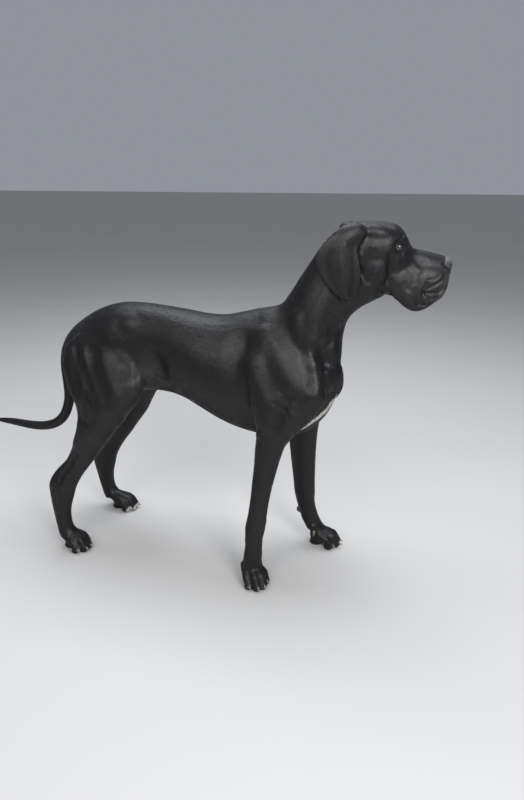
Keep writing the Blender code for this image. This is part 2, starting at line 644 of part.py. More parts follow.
def grown(obj, margin):
    """A copy of the object with every point moved out along its normal."""
    copy = bpy.data.objects.new("grown", obj.data.copy())
    bpy.context.scene.collection.objects.link(copy)
    set_coordinates(copy.data, coordinates(copy.data) + margin * normals_of(copy.data))
    return copy


def claw(place, forward, across, turn, thumb=False):
    """A curved, tapering nail that leaves the toe forward and down."""
    a = math.radians(turn)
    ahead = np.array([math.cos(a), math.sin(a), 0])
    side = np.array([-math.sin(a), math.cos(a), 0])
    start = np.array([forward + 0.002, across, 0.0205])
    rows = []
    for t, size in ((0.0, 1.0), (0.5, 0.85), (1.0, 0.25)):
        dive = math.radians(18 + 42 * t)
        along = ahead * math.cos(dive) - np.array([0, 0, math.sin(dive)])
        fore = ahead * math.sin(dive) + np.array([0, 0, math.cos(dive)])
        point = start + ahead * CLAW_LENGTH * t * math.cos(math.radians(30)) - np.array([0, 0, CLAW_LENGTH * 0.62 * t**1.5])
        rows.append(np.concatenate([point, fore, side, (CLAW_RADIUS * size, CLAW_RADIUS * size, CLAW_RADIUS * size * 0.72), (2, 2)]))
    bm = bmesh.new()
    loft(bm, rows, place, sides=6, step=0.02)
    return object_from(bm, "claw")


def thumb_claws():
    """The dewclaw on the inner side of each front paw."""
    for key, base in THUMBS.items():
        lean = 12 if base[1] > 0 else -12
        place = paw_matrix(key) @ Matrix.Translation(base) @ Matrix.Rotation(math.radians(55), 4, "Y")
        yield key, claw(place @ Matrix.Translation((-0.008, 0, -0.012)), 0, 0, lean)


# The pieces a person would name: a point inside each, in the order they are told apart
def piece_seats():
    seats = {
        "head": in_head(-0.090, 0.0, -0.03), "muzzle": in_head(0.045, 0.0, -0.03),
        "lower_jaw": in_head(0.060, 0.0, -0.118), "nose": in_head(0.104, 0.0, -0.028),
        "neck": (0.385, 0.010, 0.830), "chest": (0.190, 0.0, 0.600), "loin": (0.000, 0.0, 0.640),
        "rump": (-0.200, 0.0, 0.640), "tail_root": (-0.391, 0.0, 0.520), "tail_bend": (-0.425, 0.0, 0.388),
        "tail_end": (-0.580, 0.0, 0.340),
    }
    legs = {
        "shoulder": ((0.310, 0.100, 0.560), (0.330, 0.100, 0.560)),
        "forearm": ((0.268, 0.115, 0.310), (0.324, 0.115, 0.310)),
        "fore_pastern": ((0.247, 0.124, 0.130), (0.340, 0.122, 0.130)),
        "thigh": ((-0.200, 0.095, 0.520), (-0.200, 0.095, 0.520)),
        "gaskin": ((-0.290, 0.111, 0.322), (-0.290, 0.111, 0.322)),
        "hock": ((-0.370, 0.122, 0.175), (-0.370, 0.122, 0.175)),
    }
    for name, (right, left) in legs.items():
        seats[name + "_right"] = (right[0], -right[1], right[2])
        seats[name + "_left"] = left
    for key, (x, y, _) in PAWS.items():
        seats[key.split("_")[0] + "_paw_" + key.split("_")[1]] = (x, y, 0.030)
    return seats


def seams():
    """The thin walls and hollow boxes that part the flesh: centre, size, turn, and whether it is a box."""
    wall = GAP
    yield (0.362, 0.0, 0.740), (wall, 0.32, 0.30), (0, -60, 0), False
    yield (0.060, 0.0, 0.600), (wall, 0.32, 0.40), (0, 0, 0), False
    yield (-0.068, 0.0, 0.630), (wall, 0.32, 0.34), (0, 0, 0), False
    yield (-0.4205, 0.0, 0.527), (0.105, 0.080, 0.190), (0, -2, 0), True
    yield (-0.470, 0.0, 0.353), (wall, 0.09, 0.09), (0, 12, 0), False
    for side, x, low in ((-1, 0.300, 0.272), (1, 0.310, 0.326)):
        yield (x, side * 0.160, 0.5475), (0.290, 0.210, 0.259), (0, 0, 0), True
        yield (low - (0.024 if side < 0 else -0.006), side * 0.120, 0.192), (0.13, 0.13, wall), (0, 0, 0), False
    yield (0.250, -0.128, 0.076), (0.13, 0.13, wall), (0, 0, 0), False
    yield (0.352, 0.124, 0.076), (0.13, 0.13, wall), (0, 0, 0), False
    for side in (-1, 1):
        yield (-0.232, side * 0.150, 0.525), (0.310, 0.190, 0.250), (0, 0, 0), True
        yield (-0.355, side * 0.118, 0.232), (0.15, 0.11, wall), (0, 22, 0), False
        yield (-0.365, side * 0.129, 0.068), (0.14, 0.11, wall), (0, 0, 0), False


def head_seams():
    """The same within the head's own axes."""
    yield (-0.128, 0.0, -0.062), (GAP, 0.24, 0.27), (0, -44, 0), False
    yield (0.002, 0.0, -0.06), (GAP, 0.20, 0.26), (0, 24, 0), False
    yield (0.075, 0.0, -0.138), (0.110, 0.20, 0.062), (0, 6, 0), True
    yield (0.110, 0.0, -0.030), (0.028, 0.060, 0.044), (0, 0, 0), True


def holds(tree, point):
    """Whether a closed surface goes round a point: a ray from inside crosses it an odd number of times."""
    way, start, crossings = Vector((0.31, 0.87, 0.38)).normalized(), Vector(point), 0
    while crossings < 60:
        hit = tree.ray_cast(start, way)[0]
        if hit is None:
            break
        crossings += 1
        start = hit + way * 1e-6
    return crossings % 2 == 1


def names_of(parts, seats):
    """The name of each loose body: the one seat that lies in it."""
    trees = [BVHTree.FromPolygons([tuple(p) for p in points], faces) for points, faces in parts]
    named = {}
    for name, seat in seats.items():
        found = [k for k, tree in enumerate(trees) if holds(tree, seat)]
        if len(found) != 1 or found[0] in named:
            raise RuntimeError(name + " isn't one piece of its own")
        named[found[0]] = name
    return named


def level_feet(obj):
    """Cuts the soles off flat at one level, so that the animal stands on them."""
    bm = bmesh.new()
    bm.from_mesh(obj.data)
    every = bm.verts[:] + bm.edges[:] + bm.faces[:]
    cut_edges = bmesh.ops.bisect_plane(
        bm, geom=every, plane_co=(0, 0, FOOT_FLAT), plane_no=(0, 0, -1), clear_outer=True, dist=1e-6
    )["geom_cut"]
    bmesh.ops.holes_fill(bm, edges=[e for e in cut_edges if isinstance(e, bmesh.types.BMEdge)])
    bmesh.ops.triangulate(bm, faces=bm.faces[:])
    bm.to_mesh(obj.data)
    bm.free()


def material(name, colour, roughness):
    made = bpy.data.materials.new(name)
    made.use_nodes = True
    shader = made.node_tree.nodes["Principled BSDF"]
    shader.inputs["Base Color"].default_value = (*colour, 1)
    shader.inputs["Roughness"].default_value = roughness
    shader.inputs["Metallic"].default_value = 0
    return made


def finished(obj, name, look, collection, origin):
    """Names the piece, gives it its material and its place, and files it in the collection."""
    obj.name = name
    obj.data.name = name
    points = coordinates(obj.data)
    middle = (points.min(axis=0) + points.max(axis=0)) / 2
    set_coordinates(obj.data, points - middle)
    obj.location = Vector(middle) - Vector(origin)
    obj.data.materials.clear()
    obj.data.materials.append(look)
    for user in obj.users_collection:
        user.objects.unlink(obj)
    collection.objects.link(obj)
    obj.data.shade_smooth()
    obj.data.set_sharp_from_angle(angle=math.radians(40))


def main():
    for obj in list(bpy.data.objects):
        bpy.data.objects.remove(obj)
    collection = bpy.data.collections.new(MODEL_NAME)
    bpy.context.scene.collection.children.link(collection)
    whole = flesh()
    applied(whole, "DECIMATE", ratio=FLESH_TRIANGLES / (2 * len(whole.data.polygons)), use_collapse_triangulate=True)
    level_feet(whole)

    ears = {side: ear(side) for side in (-1, 1)}
    outer = grown(whole, GAP)
    for flap in ears.values():
        cut(flap, outer)
        keep_largest(flap)
    claws = []
    for key in PAWS:
        for number, forward, across, turn in toe_layout(key):
            claws.append((key, str(number + 1), claw(paw_matrix(key), forward, across, turn)))
    claws += [(key, "thumb", nail) for key, nail in thumb_claws()]
    for _, _, nail in claws:
        cut(nail, outer)
    removed(outer)

    eyes = {}
    for side in (-1, 1):
        seat = Matrix.Translation(in_head(EYE_CENTRE[0], side * EYE_CENTRE[1], EYE_CENTRE[2]))
        for grow in (GAP, 0.0):
            bm = bmesh.new()
            bmesh.ops.create_uvsphere(bm, u_segments=14, v_segments=8, radius=EYE_RADIUS + grow, matrix=seat)
            eyes[side] = object_from(bm, "eye")
            if grow:
                cut(whole, eyes[side])
                removed(eyes[side])

    place = head_matrix()
    for centre, size, turn, box in seams():
        cutter = box_cutter(centre, size, turn, GAP if box else 0)
        cut(whole, cutter)
        removed(cutter)
    for centre, size, turn, box in head_seams():
        cutter = box_cutter((0, 0, 0), size, turn, GAP if box else 0)
        cutter.data.transform(place @ Matrix.Translation(centre))
        cut(whole, cutter)
        removed(cutter)

    applied(whole, "TRIANGULATE")
    parts = loose_parts(whole)
    seats = piece_seats()
    names = names_of(parts, seats)
    removed(whole)
    pieces = []
    for k, (points, faces) in enumerate(parts):
        if k not in names:
            continue
        mesh = bpy.data.meshes.new(names[k])
        mesh.from_pydata([tuple(p) for p in points], [], faces)
        made = bpy.data.objects.new(names[k], mesh)
        bpy.context.scene.collection.objects.link(made)
        pieces.append((made, names[k]))

    looks = {
        "coat": (COAT_BLACK, 0.42), "nose": (NOSE_BLACK, 0.38), "eye": (EYE_BROWN, 0.08), "claw": (CLAW_PALE, 0.5),
    }
    sides = {-1: "right", 1: "left"}
    entries = [(made, name, "nose" if name == "nose" else "coat") for made, name in pieces]
    entries += [(flap, "ear_" + sides[side], "coat") for side, flap in ears.items()]
    entries += [(globe, "eye_" + sides[side], "eye") for side, globe in eyes.items()]
    for key, number, nail in claws:
        end, side = key.split("_")
        entries.append((nail, end + "_claw_" + number + "_" + side, "claw"))
    low = np.min([coordinates(made.data).min(axis=0) for made, _, _ in entries], axis=0)
    high = np.max([coordinates(made.data).max(axis=0) for made, _, _ in entries], axis=0)
    origin = ((low[0] + high[0]) / 2, (low[1] + high[1]) / 2, low[2])
    for made, name, look in entries:
        colour, roughness = looks[look]
        finished(made, name, material(name, colour, roughness), collection, origin)


if __name__ == "__main__":
    main()
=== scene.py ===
"""The great dane's skin, coat, eyes and claws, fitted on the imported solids. Metres, +Z up, facing +X.

One skin is lofted from the same sections as the solids, blended on a finer grid, and lies inside them by
the depth of the coat. Muscles, folds, lids and lips are raised on it, and the short coat lies over it.
The tables of sections, paths and places are in millimetres; rows_of turns them into metres.
"""

import math

import bmesh
import bpy
import numpy as np
from mathutils import Matrix, Vector
from mathutils.bvhtree import BVHTree


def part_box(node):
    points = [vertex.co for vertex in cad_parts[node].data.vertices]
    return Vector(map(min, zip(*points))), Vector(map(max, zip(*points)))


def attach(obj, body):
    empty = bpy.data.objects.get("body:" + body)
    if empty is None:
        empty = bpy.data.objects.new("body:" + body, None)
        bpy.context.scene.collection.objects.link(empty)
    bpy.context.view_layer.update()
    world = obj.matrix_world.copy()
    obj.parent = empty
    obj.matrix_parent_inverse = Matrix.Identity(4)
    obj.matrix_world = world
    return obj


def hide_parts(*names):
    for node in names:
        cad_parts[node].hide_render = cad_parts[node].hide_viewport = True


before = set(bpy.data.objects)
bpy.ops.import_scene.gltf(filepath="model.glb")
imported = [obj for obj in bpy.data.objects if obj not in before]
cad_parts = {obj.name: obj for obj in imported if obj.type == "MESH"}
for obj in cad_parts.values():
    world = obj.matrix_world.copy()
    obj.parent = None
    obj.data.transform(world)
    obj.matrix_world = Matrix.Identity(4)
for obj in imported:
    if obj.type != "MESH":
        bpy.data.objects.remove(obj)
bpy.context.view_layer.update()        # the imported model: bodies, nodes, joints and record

# Driving dimensions, in metres, as in the solids
STOP_POINT = (0.5932, 0.0665, 0.9334)
HEAD_YAW = math.radians(18)
HEAD_PITCH = math.radians(11)
EYE_RADIUS = 0.0125
EYE_CENTRE = (-0.0415, 0.0395, -0.006)
EAR_THICKNESS = 0.0055
FAR_EAR_TUCK = 0.7
FAR_EAR_DROP = 0.006
PAW_LENGTH = 0.1
PAW_WIDTH = 0.078
TOE_RADIUS = 0.0135
CLAW_LENGTH = 0.016
CLAW_RADIUS = 0.004
FOOT_FLAT = 0.0015
LEG_BOW = 2.2

# Where each paw stands: middle x, middle y, heading in degrees from +X towards +Y
PAWS = {
    "fore_right": (0.243, -0.124, -46.0),
    "fore_left": (0.392, 0.124, 4.0),
    "hind_right": (-0.338, -0.13, -8.0),
    "hind_left": (-0.318, 0.13, 4.0),
}
# The dewclaw's toe inside each front paw, in the paw's own axes, and the pad behind each carpus
THUMBS = {"fore_right": (-0.022, 0.0325, 0.062), "fore_left": (-0.027, -0.037, 0.056)}
CARPAL_PADS = {"fore_right": (0.229, -0.104, 0.15), "fore_left": (0.317, 0.12, 0.116)}
SIDES = {-1: "right", 1: "left"}

# The skin's grid, the coat's depth over it, and the photograph's camera
SKIN_GRID = 0.0036
COAT_DEPTH = 0.0018
CAMERA_PLACE = (0.70305, -1.48422, 1.095)
CAMERA_TURN = math.radians(17.65)
CAMERA_DIP = math.radians(20.5)
CAMERA_LENS = 27
SEED = 20


# Sections and lofts

def rows_of(flat, width):
    """A flat run of millimetres as rows of the given width, in metres."""
    return np.reshape(flat, (-1, width)) / 1000


def span(front_x, front_z, back_x, back_z, y, half, bow_front=2.0, bow_back=2.0, middle=0.5):
    """A section from a front point to a back point of the side view, in millimetres."""
    front, back = rows_of((front_x, y, front_z, back_x, y, back_z), 3)
    centre = back + (front - back) * middle
    length = np.linalg.norm(front - back)
    fore = (front - back) / length
    reaches = (length * (1 - middle), length * middle, half / 1000)
    return np.concatenate([centre, fore, (0, 1, 0), reaches, (bow_front, bow_back)])


def slab(x, top, bottom, half, bow_top=2.0, bow_bottom=2.0, middle=0.5, y=0):
    """An upright section across the animal at one x, in millimetres."""
    return span(x, top, x, bottom, y, half, bow_top, bow_bottom, middle)


def post(x, y, z, yaw, fore, back, half):
    """A level section of a leg in millimetres, turned about the upright by yaw in degrees."""
    place, reaches = rows_of((x, y, z, fore, back, half), 3)
    a = math.radians(yaw)
    ahead, across = (math.cos(a), math.sin(a), 0), (-math.sin(a), math.cos(a), 0)
    return np.concatenate([place, ahead, across, reaches, (LEG_BOW, LEG_BOW)])


def round_row(point, fore, side, radius):
    """A round section at one point."""
    return np.concatenate([point, fore, side, (radius, radius, radius), (2, 2)])


def smooth_rows(rows, step):
    """The section table made dense: a Catmull-Rom curve through every column."""
    rows = np.array(rows, float)
    gaps = np.maximum(np.linalg.norm(np.diff(rows[:, :3], axis=0), axis=1), 1e-6)
    out = []
    for i, gap in enumerate(gaps):
        here, after = rows[i], rows[i + 1]
        slope_in = slope_out = (after - here) / gap
        if i:
            slope_in = (after - rows[i - 1]) / (gap + gaps[i - 1])
        if i + 2 < len(rows):
            slope_out = (rows[i + 2] - here) / (gap + gaps[i + 1])
        for t in np.linspace(0, 1, max(2, math.ceil(gap / step)), endpoint=False):
            start = (2 * t**3 - 3 * t**2 + 1) * here + (t**3 - 2 * t**2 + t) * slope_in * gap
            out.append(start + (-2 * t**3 + 3 * t**2) * after + (t**3 - t**2) * slope_out * gap)
    out.append(rows[-1])
    return np.array(out)


def loft(bm, rows, matrix=None, sides=40, step=0.006):
    """A closed surface through the sections, its ends closed by low domes."""
    dense = smooth_rows(rows, step)
    turn = np.linspace(0, 2 * math.pi, sides, endpoint=False)
    up, across = np.sin(turn), np.cos(turn)
    rings = []
    for row in dense:
        fore, side = row[3:6] / np.linalg.norm(row[3:6]), row[6:9] / np.linalg.norm(row[6:9])
        reach = np.where(up > 0, abs(row[9]), abs(row[10]))
        power = 2 / np.where(up > 0, row[12], row[13])
        along = np.sign(up) * np.abs(up) ** power * reach
        wide = np.sign(across) * np.abs(across) ** power * abs(row[11])
        rings.append(row[:3] + along[:, None] * fore + wide[:, None] * side)
    place = matrix or Matrix.Identity(4)
    verts = [[bm.verts.new(place @ Vector(p)) for p in ring] for ring in rings]
    faces = []
    for first, second in zip(verts, verts[1:]):
        for k in range(sides):
            after = (k + 1) % sides
            faces.append(bm.faces.new((first[k], first[after], second[after], second[k])))
    for ring, row, beyond in ((verts[0], dense[0], dense[1]), (verts[-1], dense[-1], dense[-2])):
        out = row[:3] - beyond[:3]
        reach = 0.35 * min(abs(row[9]) + abs(row[10]), 2 * abs(row[11])) / 2
        tip = Vector(row[:3] + out / max(np.linalg.norm(out), 1e-9) * reach)
        cap = bm.verts.new(place @ tip)
        for k in range(sides):
            faces.append(bm.faces.new((ring[k], ring[(k + 1) % sides], cap)))
    bmesh.ops.recalc_face_normals(bm, faces=faces)


def loft_table(bm, section, table, matrix=None):
    """A loft through the rows of a table, each one section of the given kind."""
    loft(bm, [section(*row) for row in table], matrix)


def ball(bm, centre, radii, matrix=None, turn=(0, 0, 0)):
    """An ellipsoid, turned in degrees about its own centre."""
    place = matrix or Matrix.Identity(4)
    spin = Matrix.Rotation(math.radians(turn[2]), 4, "Z") @ Matrix.Rotation(math.radians(turn[1]), 4, "Y")
    spin = spin @ Matrix.Rotation(math.radians(turn[0]), 4, "X")
    shape = bmesh.new()
    bmesh.ops.create_uvsphere(shape, u_segments=24, v_segments=14, radius=1)
    shape.transform(place @ Matrix.Translation(centre) @ spin @ Matrix.Diagonal((*radii, 1)))
    copies = {vert: bm.verts.new(vert.co) for vert in shape.verts}
    for face in shape.faces:
        bm.faces.new([copies[vert] for vert in face.verts])
    shape.free()


def capsule(bm, ends, radii, matrix=None):
    """A round limb between two points, as wide at each end as its radius there."""
    a, b = np.array(ends[0], float), np.array(ends[1], float)
    ball(bm, a, (radii[0],) * 3, matrix)
    ball(bm, b, (radii[1],) * 3, matrix)
    along = (b - a) / np.linalg.norm(b - a)
    fore = np.cross((0, 1, 0) if abs(along[1]) < 0.9 else (1, 0, 0), along)
    fore /= np.linalg.norm(fore)
    side = np.cross(along, fore)
    rows = [round_row(point, fore, side, radius) for point, radius in zip((a, b), radii)]
    loft(bm, rows, matrix, sides=20, step=0.05)


# The flesh

def head_matrix():
    turn = Matrix.Rotation(HEAD_YAW, 4, "Z") @ Matrix.Rotation(HEAD_PITCH, 4, "Y")
    return Matrix.Translation(STOP_POINT) @ turn


def add_trunk(bm):
    loft_table(bm, slab, (
        (-388, 628, 560, 26), (-366, 662, 520, 46), (-328, 696, 490, 66),
        (-260, 737, 470, 86, 2.2), (-190, 760, 480, 95, 2.3), (-120, 764, 505, 85, 2.2),
        (-55, 760, 511, 83, 2.1, 2.1, 0.55), (10, 754, 500, 95, 2.0, 2.1, 0.52),
        (70, 747, 474, 108, 1.9, 2.1, 0.5), (130, 748, 448, 114, 1.8, 2.2, 0.47),
        (190, 762, 430, 113, 1.7, 2.3, 0.45), (250, 775, 420, 104, 1.7, 2.3, 0.43),
        (310, 768, 420, 94, 1.8, 2.2, 0.43), (365, 735, 440, 84, 2.0, 2.0, 0.45),
        (412, 700, 490, 66, 2.0, 2.0, 0.48), (440, 665, 548, 34),
    ))


def add_neck(bm):
    loft_table(bm, span, (
        (180, 752, 360, 500, 0, 80, 1.8), (235, 772, 415, 565, 0, 84, 1.8),
        (282, 785, 444, 640, 2, 82, 1.8), (306, 815, 447, 705, 4, 76, 1.8),
        (330, 855, 458, 752, 8, 70, 1.9), (352, 890, 483, 781, 12, 65, 2.0),
        (376, 925, 517, 802, 17, 62, 2.1), (408, 950, 545, 818, 24, 58, 2.1),
        (440, 960, 560, 840, 32, 50, 2.1),
    ))


# The skull with its muzzle, the lower jaw, and the lip that hangs on each side, in the head's own axes
SKULL = (
    (-192, -22, -92, 40), (-172, 10, -104, 54), (-145, 32, -108, 64), (-112, 41, -108, 69, 2.2, 2.0, 0.55),
    (-80, 45.5, -110, 68, 2.3, 2.0, 0.58), (-56, 46, -110, 64, 2.4, 2.0, 0.58),
    (-34, 38, -108, 56, 2.4, 2.0, 0.55), (-15, 20, -104, 47, 2.3, 2.0, 0.5),
    (4, 0, -100, 41, 2.3, 2.2, 0.42), (30, -2.5, -96, 38, 2.5, 2.3, 0.38),
    (60, -3.5, -92, 36, 2.5, 2.3, 0.36), (86, -6, -86, 33, 2.5, 2.3, 0.36),
    (103, -9, -78, 28, 2.4, 2.3, 0.4), (109, -18, -70, 21, 2.2, 2.2, 0.45),
)
JAW = (
    (110, -88, -106, 10), (102, -80, -119, 18), (80, -75, -130, 24), (40, -75, -132, 28),
    (0, -75, -130, 33), (-40, -70, -127, 40), (-80, -60, -122, 46), (-120, -50, -110, 44),
)
FLEWS = (
    (114, -56, -88, 8, 8), (106, -44, -106, 16, 17), (88, -36, -124, 19, 24), (62, -34, -146, 19, 29),
    (36, -36, -152, 18, 31), (10, -40, -143, 17, 34), (-16, -46, -128, 15, 37), (-40, -56, -112, 12, 39),
)


def add_head(bm):
    place = head_matrix()
    loft_table(bm, slab, SKULL, place)
    ball(bm, (0.097, 0, -0.0275), (0.0165, 0.0215, 0.0205), place)
    loft_table(bm, slab, JAW, place)
    for side in SIDES:
        loft(bm, [slab(*row, y=side * y) for *row, y in FLEWS], place)
        ball(bm, (-0.088, side * 0.047, -0.06), (0.046, 0.022, 0.044), place)
        capsule(bm, ((-0.03, side * 0.043, -0.028), (-0.105, side * 0.06, -0.016)), (0.011, 0.012), place)
        ball(bm, (-0.04, side * 0.031, 0.013), (0.024, 0.016, 0.015), place)
        ball(bm, (-0.1, side * 0.046, 0.014), (0.045, 0.02, 0.024), place)
        ball(bm, (-0.15, side * 0.048, 0.008), (0.028, 0.018, 0.02), place)


def add_tail(bm):
    course = rows_of((
        -350, 642, 30, -374, 604, 26.5, -388, 552, 22, -391, 500, 18.5, -396, 452, 16, -411, 409, 15.5,
        -433, 377, 15.5, -464, 355, 15.2, -502, 343, 14.7, -542, 339, 14, -582, 340, 13, -622, 342, 11.5,
        -655, 342, 9, -682, 341, 6, -694, 341, 3.5,
    ), 3)
    points = np.array([(x, 0.0, z) for x, z, _ in course])
    rows = []
    for point, along, radius in zip(points, np.gradient(points, axis=0), course[:, 2]):
        along = along / np.linalg.norm(along)
        rows.append(round_row(point, np.cross((0, 1, 0), along), (0, 1, 0), radius))
    loft(bm, rows, sides=24)


def add_limb(bm, side, shift, table):
    """The upper part of a leg; each section ends with the shares of the shift its front and back take."""
    rows = []
    for front_x, front_z, back_x, back_z, y, half, front_share, back_share in table:
        front_x, back_x = front_x + shift * front_share, back_x + shift * back_share
        rows.append(span(front_x, front_z, back_x, back_z, side * y, half))
    loft(bm, rows)


SHOULDER = (
    (330, 735, 215, 735, 46, 26, 0, 0), (385, 680, 200, 690, 64, 34, 0, 0),
    (418, 620, 196, 640, 77, 40, 1 / 3, 0), (428, 568, 205, 585, 86, 42, 1 / 2, 1 / 3),
    (404, 520, 222, 535, 93, 42, 1, 1 / 2), (366, 478, 242, 488, 99, 40, 1, 1),
    (335, 440, 250, 448, 104, 36, 1, 1), (315, 405, 252, 410, 107, 31, 1, 1),
)
RIGHT_FORELEG = (
    (306, -98, 500, -8, 52, 50, 36), (294, -103, 455, -14, 44, 46, 35), (284, -108, 410, -22, 38, 40, 32),
    (276, -112, 360, -30, 34, 36, 27.5), (268, -115, 310, -36, 31, 34, 25),
    (261, -118, 260, -40, 29, 31, 24), (255, -120, 215, -43, 29, 30, 25.5),
    (250, -122, 178, -45, 29, 32, 27.5), (247, -123, 150, -46, 26, 29, 25),
    (245, -123, 118, -46, 26, 26, 24.5), (242, -121, 85, -46, 27, 27, 27.5),
    (240, -120, 60, -46, 26, 28, 30), (240, -120, 42, -46, 24, 26, 29),
)
LEFT_FORELEG = (
    (338, 98, 500, 2, 56, 52, 36), (330, 103, 455, 2, 50, 48, 35), (325, 108, 410, 2, 46, 44, 32),
    (323, 112, 360, 2, 43, 42, 27.5), (324, 115, 310, 2, 40, 39, 25), (326, 118, 260, 3, 37, 36, 24),
    (329, 120, 215, 3, 34, 34, 25.5), (332, 121, 178, 4, 32, 33, 27.5), (335, 122, 150, 4, 29, 30, 25),
    (343, 123, 118, 4, 27, 29, 24.5), (353, 124, 85, 4, 29, 29, 28), (366, 124, 58, 4, 34, 28, 31),
)
THIGH = (
    (-105, 680, -300, 680, 50, 34, 0, 0), (-85, 615, -344, 630, 64, 42, 0, 0),
    (-82, 560, -348, 575, 76, 47, 0, 0), (-96, 515, -330, 530, 86, 50, 1, 0),
    (-126, 474, -312, 505, 93, 48, 1, 0),
    (-156, 436, -298, 462, 99, 43, 1 / 2, 0), (-186, 396, -299, 415, 104, 37, 0, 0),
    (-220, 352, -310, 377, 108, 31, 0, 0), (-252, 310, -326, 338, 111, 26.5, 0, 0),
    (-280, 275, -348, 300, 114, 23.5, 0, 0), (-303, 243, -384, 262, 117, 22.5, 0, 0),
    (-321, 212, -414, 216, 119, 25, 0, 0), (-333, 178, -414, 172, 122, 25.5, 0, 0),
    (-345, 140, -409, 132, 125, 22.5, 0, 0), (-349, 105, -403, 97, 127, 22.5, 0, 0),
    (-345, 74, -396, 62, 129, 26, 0, 0), (-330, 52, -385, 36, 130, 28.5, 0, 0),
)


def add_shoulders(bm):
    """Shoulder to pastern: the right leg stands back and turned out, the left one 28 mm forward."""
    add_limb(bm, -1, 0, SHOULDER)
    add_limb(bm, 1, 28, SHOULDER)
    loft_table(bm, post, RIGHT_FORELEG)
    loft_table(bm, post, LEFT_FORELEG)
    for key, pad in CARPAL_PADS.items():
        ball(bm, pad, (0.012, 0.01, 0.014), turn=(0, 15, PAWS[key][2]))
    for key, (x, y, z) in THUMBS.items():
        ball(bm, (x + 0.001, y, z + 0.013), (0.009, 0.008, 0.012), paw_matrix(key), (0, 25, 0))


def add_hind_legs(bm):
    """Thigh to hock: the left knee is set 14 mm further back than the right one."""
    add_limb(bm, -1, 0, THIGH)
    add_limb(bm, 1, -14, THIGH)


def paw_matrix(key):
    x, y, yaw = PAWS[key]
    return Matrix.Translation((x, y, 0)) @ Matrix.Rotation(math.radians(yaw), 4, "Z")


def toe_layout(key):
    """Each toe's own place in its paw: its number, how far forward and across, and its turn in degrees."""
    hind = key.startswith("hind")
    reach = PAW_LENGTH * (0.40 if hind else 0.455)
    spread = PAW_WIDTH * (0.88 if hind else 0.94)
    for number, across in enumerate((-0.365, -0.13, 0.13, 0.365)):
        forward = reach - (0.0175 if number in (0, 3) else 0.0)
        yield number, forward, across * spread, across * 34


def add_paw(bm, key):
    """The pad of the foot, its four arched toes and the webs between them."""
    place = paw_matrix(key)
    ball(bm, (0, 0, 0.033), (0.042, 0.03 if key.startswith("hind") else 0.031, 0.026), place)
    ball(bm, (-0.02, 0, 0.011), (0.021, 0.023, 0.0125), place)
    tips = []
    for _, forward, across, turn in toe_layout(key):
        a = math.radians(turn)
        middle = abs(across) < 0.02
        root = (forward - 0.054 * math.cos(a), across * 0.5, 0.052 if middle else 0.048)
        knuckle = (forward - 0.014 * math.cos(a), across, 0.0385 if middle else 0.034)
        tip = (forward, across + 0.004 * math.sin(a), 0.0165)
        capsule(bm, (root, knuckle), (0.015, TOE_RADIUS), place)
        capsule(bm, (knuckle, tip), (TOE_RADIUS, 0.012), place)
        ball(bm, (forward - 0.006, across, 0.0085), (0.0145, 0.011, 0.01), place)
        tips.append((forward, across))
    for (forward, across), (next_forward, next_across) in zip(tips, tips[1:]):
        web = ((forward + next_forward) / 2 - 0.02, (across + next_across) / 2, 0.028)
        ball(bm, web, (0.014, 0.0105, 0.0125), place)


# The ears with their folds

# Edges of the flap in the head's own axes: height, front and rear edge, and how far out each of them is
EAR_EDGES = (
    (26, -134, -168, 50, 46), (17, -127, -184, 60, 56), (0, -131, -201, 66, 64), (-25, -139, -219, 68, 68),
    (-50, -129, -231, 69, 70), (-75, -119, -232, 69.5, 71), (-98, -114, -219, 69, 71),
    (-118, -116, -199, 67, 71), (-134, -119, -176, 66, 70), (-146, -124, -158, 66, 68),
    (-152, -132, -148, 66, 67),
)
# Folds across the ear from its front edge (0) to its rear edge (1): middle, reach, height in metres
EAR_FOLDS = (
    (0.02, 0.06, 0.0022), (0.15, 0.07, -0.0022), (0.45, 0.14, 0.0022),
    (0.76, 0.09, -0.003), (0.97, 0.07, 0.0015),
)


def ear_sheet(side, rows=44, columns=26):
    """The flap of one ear as a grid of points in the head's own axes, with its rims and soft folds."""
    tuck, drop = (FAR_EAR_TUCK, FAR_EAR_DROP) if side > 0 else (1, 0)
    edges = rows_of(EAR_EDGES, 5)
    dense = smooth_rows([(0, front, z, back, *out) for z, front, back, *out in edges], 0.003)
    picks = np.linspace(0, len(dense) - 1, rows).round().astype(int)
    grid = np.zeros((rows, columns, 3))
    s = np.linspace(0, 1, columns)
    for i, (_, front, z, back, front_y, back_y) in enumerate(dense[picks]):
        width = min(1, abs(front - back) / 0.05)
        low = np.clip((0.01 - z) / 0.08, 0, 1)
        back = front + (back - front) * tuck
        bulge = 0.009 * np.sin(math.pi * s)
        for middle, reach, height in EAR_FOLDS:
            bulge = bulge + height * low * glow(s - middle, reach)
        grid[i, :, 0] = front + (back - front) * s
        grid[i, :, 1] = side * (front_y + (back_y - front_y) * s**1.4 + bulge * width)
        grid[i, :, 2] = z - drop + 0.004 * np.sin(math.pi * s)
    return grid


